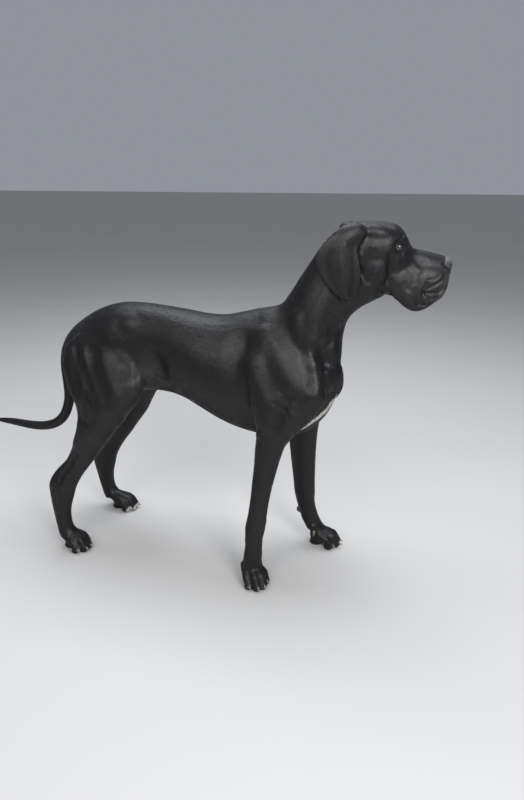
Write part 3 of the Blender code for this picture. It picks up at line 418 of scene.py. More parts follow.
def add_ear(bm, side):
    """The flap given its thickness: two layers joined round the rim."""
    grid = ear_sheet(side)
    rows, columns = grid.shape[:2]
    lean = np.cross(np.gradient(grid, axis=0), np.gradient(grid, axis=1))
    lean /= np.linalg.norm(lean, axis=2, keepdims=True)
    place = head_matrix()
    layers = []
    for half in (EAR_THICKNESS / 2, -EAR_THICKNESS / 2):
        layers.append([[bm.verts.new(place @ Vector(p)) for p in row] for row in grid + half * lean])
    faces = []
    for layer in layers:
        for row, after in zip(layer, layer[1:]):
            for j in range(columns - 1):
                faces.append(bm.faces.new((row[j], after[j], after[j + 1], row[j + 1])))
    border = [(i, 0) for i in range(rows)] + [(rows - 1, j) for j in range(1, columns)]
    border += [(i, columns - 1) for i in range(rows - 2, -1, -1)]
    border += [(0, j) for j in range(columns - 2, 0, -1)]
    front, back = layers
    for (i, j), (k, m) in zip(border, border[1:] + border[:1]):
        faces.append(bm.faces.new((front[i][j], front[k][m], back[k][m], back[i][j])))
    bmesh.ops.recalc_face_normals(bm, faces=faces)


# Reading and moving meshes

def linked(name, data):
    obj = bpy.data.objects.new(name, data)
    bpy.context.scene.collection.objects.link(obj)
    return obj


def object_from(bm, name):
    mesh = bpy.data.meshes.new(name)
    bm.to_mesh(mesh)
    bm.free()
    return linked(name, mesh)


def read(items, key, width, kind=float):
    """One value of each vertex, edge, face or corner of a mesh, as rows."""
    flat = np.empty(len(items) * width, kind)
    items.foreach_get(key, flat)
    return flat.reshape(-1, width)


def coordinates(mesh):
    return read(mesh.vertices, "co", 3)


def set_coordinates(mesh, points):
    mesh.vertices.foreach_set("co", points.ravel())
    mesh.update()


def normals_of(mesh):
    return read(mesh.vertex_normals, "vector", 3)


def face_centres(mesh):
    return read(mesh.polygons, "center", 3)


def triangles_of(mesh):
    mesh.calc_loop_triangles()
    return read(mesh.loop_triangles, "vertices", 3, int)


def relax(points, ends, rounds, weight, pulls=(0.55, -0.57)):
    """Taubin smoothing: it rounds the creases between lofts and keeps the volume."""
    count = np.bincount(ends.ravel(), minlength=len(points))[:, None]
    for _ in range(rounds):
        for pull in pulls:
            total = np.zeros_like(points)
            for axis in range(3):
                total[:, axis] = np.bincount(ends[:, 0], points[ends[:, 1], axis], len(points))
                total[:, axis] += np.bincount(ends[:, 1], points[ends[:, 0], axis], len(points))
            points = points + pull * weight[:, None] * (total / count - points)
    return points


def line_distance(points, path):
    """Distance from each point to a polyline, or to a single point."""
    path = np.atleast_2d(np.array(path, float))
    if len(path) == 1:
        return np.linalg.norm(points - path[0], axis=1)
    best = np.full(len(points), np.inf)
    for a, b in zip(path, path[1:]):
        along = b - a
        t = np.clip((points - a) @ along / (along @ along), 0, 1)
        best = np.minimum(best, np.linalg.norm(points - (a + t[:, None] * along), axis=1))
    return best


def smooth_step(value):
    value = np.clip(value, 0, 1)
    return value * value * (3 - 2 * value)


def glow(distance, reach):
    """A soft round falloff: 1 at no distance, about a third at the reach."""
    return np.exp(-((distance / reach) ** 2))


def dome(distance, reach):
    """A falloff that ends at the reach."""
    return np.clip(1 - (distance / reach) ** 2, 0, 1) ** 2


def moved(points, matrix):
    turn = np.array(matrix)
    return np.atleast_2d(points) @ turn[:3, :3].T + turn[:3, 3]


def to_head(points):
    """Points in the head's own axes, from the stop."""
    return moved(points, head_matrix().inverted())


def from_head(points):
    return moved(points, head_matrix())


def to_left(points):
    """Both sides of the animal laid on its left side."""
    return points * (1, 0, 1) + np.abs(points) * (0, 1, 0)


def tree_of(obj):
    faces = [tuple(face.vertices) for face in obj.data.polygons]
    return BVHTree.FromPolygons([tuple(p) for p in coordinates(obj.data)], faces)


def on_side(tree, path, side):
    """The side view's path of x and z laid on the flesh, from the given side."""
    found = []
    for x, z in rows_of(path, 2):
        hit = tree.ray_cast(Vector((x, side, z)), Vector((0, -side, 0)))[0]
        found.append(tuple(hit or (x, side * 0.1, z)))
    return found


def on_head_side(tree, path, side):
    """The same for a path of the head's own side view."""
    place = head_matrix()
    way = place.to_3x3() @ Vector((0, -side, 0))
    found = []
    for x, z in rows_of(path, 2):
        hit = tree.ray_cast(place @ Vector((x, side * 0.3, z)), way)[0]
        found.append(tuple(hit or place @ Vector((x, side * 0.04, z))))
    return found


def on_skin(tree, path, side):
    """A path of x, y and z near the head, on the given side, drawn onto the nearest skin."""
    return [tuple(tree.find_nearest(from_head(p * (1, side, 1))[0])[0]) for p in rows_of(path, 3)]


# Muscles and bones under the skin as the side view shows them: a path of x and z, a reach and a height
BODY_RELIEF = (
    ((258, 742, 300, 670, 350, 600), 36, 2.4), ((222, 700, 262, 640, 306, 590), 32, -2.4),
    ((404, 580), 36, 7), ((236, 640, 252, 570, 282, 510), 48, 8),
    ((190, 690, 196, 600, 222, 510), 45, -5), ((335, 570, 305, 510), 20, -3.5), ((258, 462), 20, 6),
    ((350, 520, 325, 470), 30, 4), ((430, 850, 385, 760, 390, 660), 30, 5),
    ((487, 815, 430, 740, 418, 650), 20, -5), ((330, 800, 300, 730), 34, -1.5),
    ((-50, 620, -75, 560), 55, -8), ((-130, 722), 38, 4.5), ((-320, 640), 36, 4.5),
    ((-285, 640, -235, 540, -255, 440), 22, -4.5), ((-190, 600, -160, 490), 50, 6),
    ((-320, 600, -285, 510), 34, 5), ((-158, 436), 24, 5), ((-280, 420, -302, 365), 30, 4.5),
    ((-300, 335, -330, 285, -362, 243), 15, -6.5), ((-345, 214), 15, 3.5),
)

# Finer folds of the skin over the shoulder, elbow, thigh and flank, which only the skin has
SKIN_FOLDS = (
    ((278, 690, 290, 650, 318, 604, 345, 566), 26, -2), ((250, 660, 264, 610, 290, 560), 30, 2),
    ((334, 767, 360, 719, 396, 660, 404, 610), 30, 3.5), ((402, 690, 410, 670, 424, 656), 30, -8.5),
    ((424, 625, 430, 590, 424, 560), 20, 2.8), ((446, 735, 436, 712, 416, 694), 18, -3),
    ((384, 700, 380, 640, 392, 600), 18, -1.4), ((300, 560, 330, 545, 352, 515), 8, -1.4),
    ((318, 590, 350, 575, 378, 545), 8, -1.4), ((330, 480, 342, 520, 353, 566), 16, 2.2),
    ((232, 520, 246, 480, 268, 440), 10, -2.2), ((-109, 620, -100, 580, -98, 545), 12, -2),
    ((-117, 547, -52, 575, -8, 558), 22, 2.5), ((-80, 664, -58, 630, -30, 593), 30, -3),
    ((-230, 637, -214, 592, -190, 547, -167, 508), 30, -4.6),
    ((-267, 639, -260, 586, -242, 529, -223, 476), 24, 2.6),
    ((-270, 518, -272, 456, -269, 413), 13, -2.6), ((-194, 499, -211, 447, -241, 393), 18, 2.2),
    ((-142, 594, -161, 519, -192, 464, -231, 403), 22, 2.2),
    ((-315, 313, -308, 278, -319, 230), 9, -3.6), ((-334, 248, -342, 216, -338, 185), 10, -2.6),
    ((-256, 312, -312, 244), 10, 2.4), ((277, 202, 268, 183), 15, 2.2), ((230, 160, 227, 140), 13, 2.8),
    ((-372, 190, -366, 120), 7, 1.4),
)

# The same on the head, in its own axes from the stop: bones of the eye and cheek, lips and folds
HEAD_RELIEF = (
    ((-34, -6), 26, -6), ((-50, -34, -46, -62), 20, -3.5), ((-4, -18, 30, -30), 22, -3),
    ((112, -64, 98, -86, 80, -98, 52, -103), 9, -4.5),
    ((28, -96, 42, -119, 56, -130, 78, -124), 10, -3), ((70, -56), 34, 3.5), ((20, -120), 30, 3),
)

# Creases of the face that only the skin has: brow, hollow of the cheek, pleats of the lips
FACE_FOLDS = (
    ((-56, -12, -50, 6, -37, 22), 5.5, -1.8), ((-58, -26, -49, -43, -49, -58), 12, -2.8),
    ((-82, -74), 6, 1.8), ((-18, -23, 5, -33, 27, -48), 10, 1),
    ((-34, -34, -12, -44, 12, -62, 18, -82), 9, -0.8), ((30, -60, 34, -78, 46, -96), 9, -0.9),
    ((84, -64, 74, -73, 62, -83, 56, -89), 6, -2.6),
    ((50, -76, 46, -96, 52, -108, 71, -111, 89, -103), 6.6, -3.3),
    ((51, -99, 71, -96, 84, -89), 5.4, -2.2), ((58, -103, 80, -100), 4.6, 0.9),
    ((60, -90, 78, -80, 90, -72), 6, 0.8), ((94, -62, 98, -78, 92, -94), 6, -0.8),
    ((76, -52, 66, -62, 50, -68), 6, -1.2), ((-3, -86, 7, -96, 20, -104, 33, -121, 46, -131), 8, -1.8),
    ((46, -131, 61, -131, 74, -123), 5.5, -2), ((-20, -98, -6, -112, 4, -128), 8, -1.4),
    ((-94, -96, -68, -108, -42, -114), 8, -1.8),
)

# Folds along the median of the head, from above or in front: a path of x, y and z
MEDIAN_FOLDS = (
    ((-90, 0, 46, -50, 0, 44, -20, 0, 24, 4, 0, 0), 11, -3.5),
    ((112, 0, -34, 110, 0, -46, 114, 0, -56, 118, 0, -66), 3.5, -2.4),
)

# The comma of each nostril in the head's axes, from its round opening in front to the slit behind it
NOSTRIL = (112, 10, -30, 108, 15, -33)
NOSTRIL_SLIT = (104, 24, -35.5, 95, 29, -34.5, 87, 30, -30, 80, 29, -25)
NOSTRIL_DEPTH = 0.0065
# The bare nose, as the ellipsoid it fills in metres, and the groove round it
NOSE_MIDDLE = (0.098, 0.0, -0.026)
NOSE_REACH = (0.0255, 0.032, 0.0215)
NOSE_GROOVE = 0.0011

# Where one loft meets the next too plainly and the skin is drawn smooth over them: a path and a reach
SOFTENED = (
    ((395, 60, 680, 350, 65, 725, 290, 70, 745, 220, 70, 740), 35),
    ((-385, 0, 640, -372, 45, 620, -345, 60, 560), 30),
    ((-110, 80, 690, -80, 85, 600, -90, 80, 540), 30), ((205, 100, 640, 215, 100, 540), 25),
)
# The same round the insteps, at this height, and behind the jowl, a path in the head's side view
INSTEP_HEIGHT = 0.066
JOWL_BACK = (-34, 0, -50, -36, 0, -74, -30, 0, -100, -12, 0, -122)
# Rounds of smoothing: of the whole blend, of the places above, and of the folds once they are raised
BLENDING_ROUNDS = 34
SOFTENING_ROUNDS = 70
FOLD_ROUNDS = 3


def refine(mesh, chosen):
    """Cuts the chosen faces of a mesh in four."""
    bm = bmesh.new()
    bm.from_mesh(mesh)
    bm.faces.ensure_lookup_table()
    edges = {edge for k in np.flatnonzero(chosen) for edge in bm.faces[k].edges}
    bmesh.ops.subdivide_edges(bm, edges=list(edges), cuts=1, use_grid_fill=True)
    bm.to_mesh(mesh)
    bm.free()


def ear_nearness(points):
    """1 on the flaps of the ears, falling to 0 a little way off them."""
    near = np.zeros(len(points))
    local = to_head(points)
    x, y, z = local.T
    around = np.flatnonzero((x < -0.10) & (x > -0.25) & (np.abs(y) > 0.04) & (z > -0.17))
    sheets = [ear_sheet(side).reshape(-1, 3) for side in SIDES]
    for k in around:
        gap = min(np.linalg.norm(sheet - local[k], axis=1).min() for sheet in sheets)
        near[k] = np.clip((0.009 - gap) / 0.004, 0, 1)
    return near


def raise_folds(points, normals, tree, table, lay, masked):
    """How far each point goes out for the folds and muscles of a table, laid on from each side."""
    offset = np.zeros(len(points))
    for side in SIDES:
        facing = np.clip(normals[:, 1] * side * 3, 0, 1) if masked else 1
        for path, reach, height in table:
            fall = dome(line_distance(points, lay(tree, path, side)), reach / 1000)
            offset += fall * (height / 1000) * facing
    return offset


def eye_axes(side):
    """The centre of an eye and its gaze, forward and up directions."""
    place = head_matrix()
    centre = np.array(place @ Vector((EYE_CENTRE[0], side * EYE_CENTRE[1], EYE_CENTRE[2])))
    turn = np.array(place.to_3x3())
    gaze = turn @ np.array((0.5, side * 0.86, 0.05))
    gaze /= np.linalg.norm(gaze)
    ahead = turn @ np.array((1.0, 0, 0.1))
    ahead -= gaze * (ahead @ gaze)
    ahead /= np.linalg.norm(ahead)
    up = np.cross(gaze, ahead) * (1 if np.cross(gaze, ahead)[2] > 0 else -1)
    return centre, gaze, ahead, up


# Half the opening of the lids, how far each lid stands from the middle, and how thick they are
LID_HALF = 0.0128
LID_UPPER = 0.0034
LID_LOWER = 0.0052
LID_THICKNESS = 0.0016


def set_lids(points, side):
    """Draws the skin round the eye into lids that rest on it, and behind it within their opening."""
    centre, gaze, ahead, up = eye_axes(side)
    q = points - centre
    r = np.linalg.norm(q, axis=1)
    a, b, depth = q @ ahead, q @ up, q @ gaze
    near = np.flatnonzero((r < 0.034) & (depth > 0.002))
    r0 = r[near]
    a, b = a[near] * EYE_RADIUS / r0, b[near] * EYE_RADIUS / r0
    across = np.clip(1 - (a / LID_HALF) ** 2, 0, 1)
    upper = LID_UPPER * across**1.05 + 0.0008
    lower = -LID_LOWER * across**1.15 * (1 + 0.25 * np.clip(-a / LID_HALF, -1, 1)) + 0.0008
    middle = (upper + lower) / 2
    beyond = np.where(b > middle, b - upper, lower - b)
    corner = np.clip(np.abs(a) - LID_HALF, 0, None)
    beyond = np.where(corner > 0, np.hypot(corner, np.clip(beyond, 0, None)), beyond)
    lid = EYE_RADIUS + LID_THICKNESS
    rim = smooth_step((beyond + 0.0014) / 0.0022)
    target = (EYE_RADIUS - 0.003) * (1 - rim) + lid * rim
    crease = glow(beyond - 0.0055, 0.0016) * (b > middle) * 0.0016
    bag = glow(beyond - 0.0065, 0.0022) * (b <= middle) * 0.001
    blend = smooth_step(1 - (beyond - 0.001) / 0.0085) * smooth_step(1 - (r0 - lid) / 0.016)
    new = target * blend + r0 * (1 - blend) - crease - bag
    points[near] = centre + q[near] * (new / r0)[:, None]
    in_corner = (np.abs(a) > LID_HALF - 0.002) * (np.abs(a) < LID_HALF + 0.002)
    tear = smooth_step(np.clip(1 - np.abs(b - middle) / 0.0016, 0, 1) * in_corner)
    points[near] -= (q[near] / r0[:, None]) * (0.0012 * tear)[:, None]
    wet, haw = np.zeros((2, len(points)))    # the lids' moist rim, and the pink of the lower one
    wet[near] = np.maximum(smooth_step(1 - np.abs(beyond + 0.0006) / 0.0022) * (depth[near] > 0.006), tear)
    inner = smooth_step((0.75 - np.abs(a) / LID_HALF) / 0.25)
    haw[near] = smooth_step(1 - np.abs(beyond - 0.0001) / 0.001) * (b < middle - 0.001) * inner
    return wet, haw


def blended_skin():
    """All the flesh as one mesh, finer on the face and feet and finest round the eyes and on the nose."""
    bm = bmesh.new()
    for add in (add_trunk, add_neck, add_head, add_tail, add_shoulders, add_hind_legs):
        add(bm)
    for key in PAWS:
        add_paw(bm, key)
    for side in SIDES:
        add_ear(bm, side)
    obj = object_from(bm, "skin")
    blend = obj.modifiers.new("Blend", "REMESH")
    blend.mode = "VOXEL"
    blend.voxel_size = SKIN_GRID
    mesh = bpy.data.meshes.new_from_object(obj.evaluated_get(bpy.context.evaluated_depsgraph_get()))
    obj.modifiers.clear()
    obj.data = mesh

    centres = face_centres(mesh)
    local = to_head(centres)
    face = (local[:, 0] > -0.075) & (local[:, 2] > -0.18) & (centres[:, 2] > 0.70)
    feet = centres[:, 2] < 0.062
    refine(mesh, face | feet)
    centres = face_centres(mesh)
    fine = np.min([np.linalg.norm(centres - eye_axes(side)[0], axis=1) for side in SIDES], axis=0) < 0.026
    fine |= np.linalg.norm(to_head(centres) - NOSE_MIDDLE, axis=1) < 0.036
    refine(mesh, fine)
    return obj


def nostril_mask(points, tree):
    """How deep each point lies in a nostril, 0 to 1; the slit is shallower than the opening."""
    mask = np.zeros(len(points))
    for side in SIDES:
        opening = line_distance(points, on_skin(tree, NOSTRIL, side)) / 0.0052
        slit = line_distance(points, on_skin(tree, NOSTRIL[3:] + NOSTRIL_SLIT, side)) / 0.003
        mask = np.maximum(mask, np.clip(1 - opening**2, 0, 1) ** 1.2)
        mask = np.maximum(mask, 0.6 * np.clip(1 - slit**2, 0, 1) ** 1.2)
    return mask


def smoothed(points, ends, head, low, ears):
    """The blend without its steps, smoothed all over and more so where lofts meet plainly."""
    local = to_head(points)
    firm = 0.30 + 0.60 * smooth_step((-0.045 - local[:, 0]) / 0.04)
    points = relax(points, ends, BLENDING_ROUNDS, np.where(head, firm, low) * (1 - 0.9 * ears))
    mirrored = to_left(points)
    soft = [glow(line_distance(mirrored, rows_of(path, 3)), reach / 1000) for path, reach in SOFTENED]
    instep = 0.6 * glow(points[:, 2] - INSTEP_HEIGHT, 0.016)
    jowl = 0.7 * glow(line_distance(local * (1, 0, 1), rows_of(JOWL_BACK, 3)), 0.015)
    weight = np.maximum(np.max(soft, axis=0) * low, instep) * ~head
    return relax(points, ends, SOFTENING_ROUNDS, np.maximum(weight, jowl * head), (0.5,))


def relief(obj, points, local, head, ears, nose_out):
    """How far each point of the skin goes out for muscles, folds and nostrils, and the nostrils' mask."""
    normals = normals_of(obj.data)
    tree = tree_of(obj)
    offset = raise_folds(points, normals, tree, BODY_RELIEF + SKIN_FOLDS, on_side, True)
    offset *= (1 - ears) * ~(head & (local[:, 0] > 0))
    offset += raise_folds(points, normals, tree, HEAD_RELIEF + FACE_FOLDS, on_head_side, False) * (1 - ears)
    for path, reach, height in MEDIAN_FOLDS:
        offset += dome(line_distance(local, rows_of(path, 3)), reach / 1000) * (height / 1000)
    nostril = nostril_mask(points, tree)
    groove = glow(nose_out - 1.0, 0.07) * (local[:, 0] > 0.07)
    return offset - NOSTRIL_DEPTH * nostril - NOSE_GROOVE * groove, nostril


def skin_and_masks():
    """The whole skin in one mesh, and the masks that its look and its coat are drawn from."""
    obj = blended_skin()
    mesh = obj.data
    points = coordinates(mesh)
    ends = read(mesh.edges, "vertices", 2, int)
    local = to_head(points)
    head = (local[:, 0] > -0.11) & (local[:, 2] > -0.17)
    low = np.clip((points[:, 2] - 0.03) / 0.12, 0.10, 1)
    ears = ear_nearness(points)
    nose_out = np.linalg.norm((local - NOSE_MIDDLE) / NOSE_REACH, axis=1)
    points = smoothed(points, ends, head, low, ears)
    set_coordinates(mesh, points)
    offset, nostril = relief(obj, points, local, head, ears, nose_out)
    points = points + normals_of(mesh) * offset[:, None]
    points = relax(points, ends, FOLD_ROUNDS, np.where(head, 0.5, low) * (1 - 0.8 * ears))

    set_coordinates(mesh, points)
    sunk = COAT_DEPTH * np.clip(points[:, 2] / 0.02, 0, 1) * np.where(nose_out < 1.1, 0.2, 1)
    points = points - normals_of(mesh) * (sunk * (1 - 0.6 * ears))[:, None]
    wet, haw = np.max([set_lids(points, side) for side in SIDES], axis=0)
    points[:, 2] = np.maximum(points[:, 2], FOOT_FLAT)
    set_coordinates(mesh, points)

    local = to_head(points)
    masks = {
        "nose": smooth_step((1.02 - nose_out) / 0.08) * (local[:, 0] > 0.07),
        "hole": nostril,
        # painted highlight and shade: the nose is coloured lighter on top and darker underneath, as light
        # falls on it
        "nose_painted_highlight": smooth_step((local[:, 2] - NOSE_MIDDLE[2]) / 0.014),
        "lip": lip_mask(local),
        "wet": wet,
        "haw": haw,
        "pad": pad_mask(points),
        "blaze": blaze_mask(points),
        "chops": greying(local),
        "ear": ears,
        "toe": toe_mask(points),
        # painted highlight: the flank's fold and the inside of the thighs, greyed as if lit
        "painted_flank_highlight": painted_flank_highlight_mask(points),
    }
    return obj, masks


# Masks of the coat's colours and of bare skin

# The mouth and its pleats, in the head's side view: a path of x and z, and a reach
LIP_LINES = (
    ((84, -64, 74, -73, 62, -83, 56, -89), 2.8),
    ((50, -80, 46, -96, 52, -108, 71, -111, 89, -103), 3.6), ((51, -99, 71, -96, 84, -89), 3.2),
    ((112, -66, 102, -82), 2),
)


def lip_mask(local):
    """The bare black edge of the lips, along the mouth and in its pleats."""
    mask = np.zeros(len(local))
    for path, reach in LIP_LINES:
        gap = line_distance(local[:, [0, 2]], rows_of(path, 2))
        mask = np.maximum(mask, smooth_step(1.6 - gap / (reach / 1000)))
    return mask * (np.abs(local[:, 1]) > 0.004) * (np.abs(local[:, 1]) < 0.075)


def pad_mask(points):
    mask = smooth_step((0.006 - points[:, 2]) / 0.003)
    for centre in CARPAL_PADS.values():
        mask = np.maximum(mask, smooth_step((0.015 - line_distance(points, centre)) / 0.003))
    return mask


# The front of the lips and the side of the muzzle, where grey skin shows through, on the head's median
CHOPS = (110, 0, -60, 106, 0, -85, 94, 0, -105)
MUZZLE_SIDE = (78, 0, -46, 36, 0, -60, 16, 0, -92)


def greying(local):
    """The grizzled hair of the chops, and the thinner grey of the side of the muzzle."""
    flat = local * (1, 0, 1)
    chops = glow(line_distance(flat, rows_of(CHOPS, 3)), 0.024)
    side = 0.45 * glow(line_distance(flat, rows_of(MUZZLE_SIDE, 3)), 0.030)
    return np.maximum(chops, side)


# The white streak down the brisket: points on the skin and its half width there
BLAZE = (
    (448, 0, 568, 1.5), (440, -6, 553, 5), (436.6, -10, 545, 7.5), (428.6, -19, 536, 9.5),
    (420, -27, 522, 9.5), (406.8, -37, 507, 8), (385, -45, 487, 6), (366.2, -46, 469, 4),
    (352, -45, 458, 1.5),
)


def blaze_mask(points):
    """How far inside the white streak each point lies, 0 to 1."""
    rows = np.array(BLAZE) / 1000
    mask = np.zeros(len(points))
    near = np.flatnonzero(np.linalg.norm(points - (0.405, -0.02, 0.51), axis=1) < 0.12)
    for t in np.linspace(0, len(rows) - 1, 60):
        x, y, z, half = (np.interp(t, np.arange(len(rows)), column) for column in rows.T)
        gap = np.linalg.norm(points[near] - (x, y, z), axis=1)
        mask[near] = np.maximum(mask[near], smooth_step((half - gap) / 0.004 + 0.6))
    return mask


WHITE_TOES = {"hind_left": 1.5, "hind_right": 0.35, "fore_right": 0.30, "fore_left": 0.25}


def toe_mask(points):
    """White hairs at the tips of the toes: strong on the far hind paw, a trace on the others."""
    mask = np.zeros(len(points))
    for key, strength in WHITE_TOES.items():
        local = moved(points, paw_matrix(key).inverted())
        for _, forward, across, _ in toe_layout(key):
            gap = np.linalg.norm((local - (forward + 0.006, across, 0.012)) / (1, 1, 0.9), axis=1)
            mask = np.maximum(mask, strength * smooth_step((0.015 - gap) / 0.008))
    return mask


def painted_flank_highlight_mask(points):
    """Painted highlight: the flank's fold and the inside of the thighs, coloured grey as if lit."""
    spot = to_left(points)
    flank = glow(line_distance(spot, rows_of((-115, 85, 555, -60, 75, 580), 3)), 0.035)
    thighs = glow(line_distance(spot, rows_of((-180, 45, 490, -80, 40, 520), 3)), 0.05)
    return np.maximum(0.8 * flank, 0.6 * thighs)


# The coat: flat tufts that follow its lie

# Which way the hair points, left and right alike: a place in millimetres, then a direction
BODY_LIE = (
    (420, 50, 870, -0.55, 0, -0.83), (330, 30, 890, -0.6, 0, -0.8), (480, 40, 780, -0.3, 0, -0.95),
    (400, 70, 760, -0.35, 0, -0.93), (440, 30, 620, 0.05, 0, -1), (400, 30, 500, -0.6, 0.1, -0.8),
    (260, 30, 770, -1, 0.1, -0.15), (100, 30, 750, -1, 0.1, 0), (-80, 30, 760, -1, 0.1, 0),
    (-220, 30, 750, -1, 0.1, -0.1), (300, 100, 660, -0.45, 0, -0.9), (220, 110, 600, -0.7, 0, -0.7),
    (100, 110, 620, -0.92, 0, -0.38), (0, 90, 620, -0.95, 0, -0.3), (60, 30, 470, -1, 0, 0.1),
    (240, 30, 425, -1, 0, -0.05), (-90, 80, 620, -0.7, 0, -0.7), (-320, 30, 690, -0.9, 0, -0.45),
    (-200, 100, 600, -0.4, 0, -0.9), (-330, 60, 560, -0.15, 0, -1), (-220, 100, 480, -0.45, 0, -0.88),
    (-290, 110, 350, -0.6, 0, -0.8), (-360, 120, 220, -0.2, 0, -0.98), (-370, 130, 120, 0.1, 0, -1),
    (-310, 130, 40, 0.9, 0, -0.42), (300, 110, 500, -0.3, 0, -0.95), (290, 110, 350, -0.06, 0, -1),
    (290, 120, 180, 0, 0, -1), (370, 130, 60, 0.8, 0, -0.6), (250, 130, 60, 0.55, 0.2, -0.8),
    (-380, 0, 600, -0.2, 0, -1), (-392, 0, 480, -0.1, 0, -1), (-425, 0, 385, -0.6, 0, -0.8),
    (-520, 0, 340, -1, 0, -0.05), (-660, 0, 342, -1, 0, 0),
)
# The same on the head, in its own axes
HEAD_LIE = (
    (90, 10, -10, -1, 0.1, 0.05), (40, 20, -5, -1, 0.2, 0), (-20, 10, 20, -0.8, 0.1, 0.55),
    (-80, 20, 45, -1, 0.1, 0.05), (70, 30, -60, -0.9, 0, -0.4), (30, 40, -110, -0.6, 0, -0.8),
    (-30, 50, -60, -0.9, 0, -0.4), (-90, 60, -50, -0.95, 0, -0.3), (-80, 50, 10, -0.97, 0, -0.1),
    (-160, 80, -10, -0.35, 0, -0.95), (-170, 80, -80, -0.1, 0, -1), (-150, 70, -140, 0.15, 0, -1),
    (-100, 20, -125, -0.95, 0, -0.25), (-180, 30, 10, -0.8, 0, -0.55),
)
# How far each of these places holds its direction
LIE_REACH = 0.055

# Where the coat breaks the form and its tufts stand up: a path, its reach and how much thicker it grows
BREAKS = (
    ((330, 0, 895, 290, 0, 800, 230, 0, 775), 14, 3.0),
    ((452, 0, 640, 440, 0, 560, 405, 0, 495, 340, 0, 440), 20, 4.0),
    ((300, 0, 422, 150, 0, 445, 20, 0, 498, -70, 0, 512), 16, 2.5),
    ((-388, 30, 620, -352, 70, 560, -325, 90, 500, -305, 100, 440), 16, 3.5),
    ((-391, 0, 520, -410, 0, 400, -450, 0, 350, -560, 0, 328, -680, 0, 338), 18, 4.0),
    ((205, 100, 600, 236, 100, 480, 232, 110, 420), 16, 3.0),
    ((-385, 120, 265, -412, 120, 215), 14, 2.5), ((438, 40, 700, 425, 50, 640), 18, 2.5),
    ((-100, 80, 520, -40, 60, 530), 22, 3.0), ((-40, 0, 758, -240, 0, 745, -350, 0, 680), 12, 2.0),
)
# Masks of the places where no tuft grows
BARE = ("nose", "lip", "wet", "pad", "hole")
TUFTS = 150000
TUFT_LENGTH = 0.012
TUFT_WIDTH = 0.0016
TUFT_TILT = (0.07, 0.04)
TUFT_SUNK = 0.0005
# The triangles of one tuft between its corners: the root, two sides and the top of its middle, and the tip
TUFT_FACES = np.array(((0, 3, 1), (0, 2, 3), (0, 1, 2), (4, 1, 3), (4, 3, 2), (4, 2, 1)))
PATCH = 0.003
# Where each corner of a tuft lies in the tuft's own OFBake patch
PATCH_CORNERS = np.array(((0, -0.5), (0.5, 0), (-0.5, 0), (0, 0.1), (0, 0.5))) * PATCH


def coat_lie(points):
    """The direction of the hair at each point, from the anchors near it."""
    total = np.zeros((len(points), 3))
    turn = np.array(head_matrix().to_3x3())
    for table, in_head_axes in ((BODY_LIE, False), (HEAD_LIE, True)):
        for row in table:
            for side in SIDES:
                spot = np.array(row[:3]) / 1000 * (1, side, 1)
                flow = np.array(row[3:], float) * (1, side, 1)
                if in_head_axes:
                    spot, flow = from_head(spot)[0], turn @ flow
                near = np.exp(-(((points - spot) / LIE_REACH) ** 2).sum(axis=1) / 2) + 1e-9
                total += near[:, None] * flow / np.linalg.norm(flow)
    return total / np.maximum(np.linalg.norm(total, axis=1, keepdims=True), 1e-12)


def standing(points):
    """How much thicker and higher the coat grows at each point, from 1 where it lies flat."""
    mirrored = to_left(points)
    gain = np.zeros(len(points))
    for path, reach, more in BREAKS:
        gain = np.maximum(gain, more * glow(line_distance(mirrored, rows_of(path, 3)), reach / 1000))
    return 1 + gain


# The unwrap: each part of the body rolled out round its own line, in one cell of a sheet
CELLS = ("head", "neck", "trunk", "tail", "fore_right", "fore_left", "hind_right", "hind_left")


def part_of(points):
    """The cell each point belongs to, its angle round that part and how far along it lies, 0 to 1."""
    x, y, z = points.T
    cell = np.full(len(points), CELLS.index("trunk"))
    angle = np.arctan2(y, z - 0.61)
    along = (x + 0.42) / 0.90

    def put(name, chosen, new_angle, new_along):
        cell[chosen] = CELLS.index(name)
        angle[chosen] = new_angle[chosen]
        along[chosen] = new_along[chosen]

    a, b, c = (points - (0.40, 0.01, 0.80)).T
    neck = (x * 0.5 + z * 0.87 > 0.80) & (x > 0.20)
    put("neck", neck, np.arctan2(b, a * 0.87 - c * 0.5), (a * 0.5 + c * 0.87 + 0.12) / 0.36)
    a, b, c = to_head(points).T
    ear = (a > -0.245) & (a < -0.10) & (np.abs(b) > 0.066) & (c > -0.17)
    head = (a > -0.245) & (c > -0.17) & (a - c * 0.6 > -0.12) | ear
    put("head", head, np.arctan2(b, c + 0.04), (a + 0.25) / 0.38)
    tail = (x < -0.372) & (np.abs(y) < 0.035) & (z > 0.30)
    round_tail = np.where(x < -0.43, np.arctan2(y, z - 0.342), np.arctan2(y, x + 0.39))
    put("tail", tail, round_tail, (0.63 - z + np.clip((x + 0.40) * -1, 0, 0.3)) / 0.62)
    for key, (_, paw_y, _) in PAWS.items():
        fore = key.startswith("fore")
        leg = (z < (0.44 if fore else 0.50)) & (y * paw_y > 0) & ((x > 0.1) == fore) & ~tail
        if fore:
            leg &= ~((np.abs(y) < 0.07) & (z > 0.40))
        middle_x, middle_y = leg_middle(key, z)
        put(key, leg, np.arctan2(y - middle_y, x - middle_x), z / 0.52)
    return cell, angle, np.clip(along, 0, 1)


def leg_middle(key, z):
    """The middle line of a leg at each height."""
    x, y, _ = PAWS[key]
    if key.startswith("fore"):
        knee = (0.29, -0.108) if key.endswith("right") else (0.325, 0.11)
        share = np.clip(z / 0.44, 0, 1)
        return x + (knee[0] - x) * share, y + (knee[1] - y) * share
    bend = np.interp(z, (0, 0.06, 0.21, 0.30, 0.50), (x, x - 0.02, x - 0.03, x + 0.03, x + 0.14))
    return bend, np.full(len(z), y * 0.92)


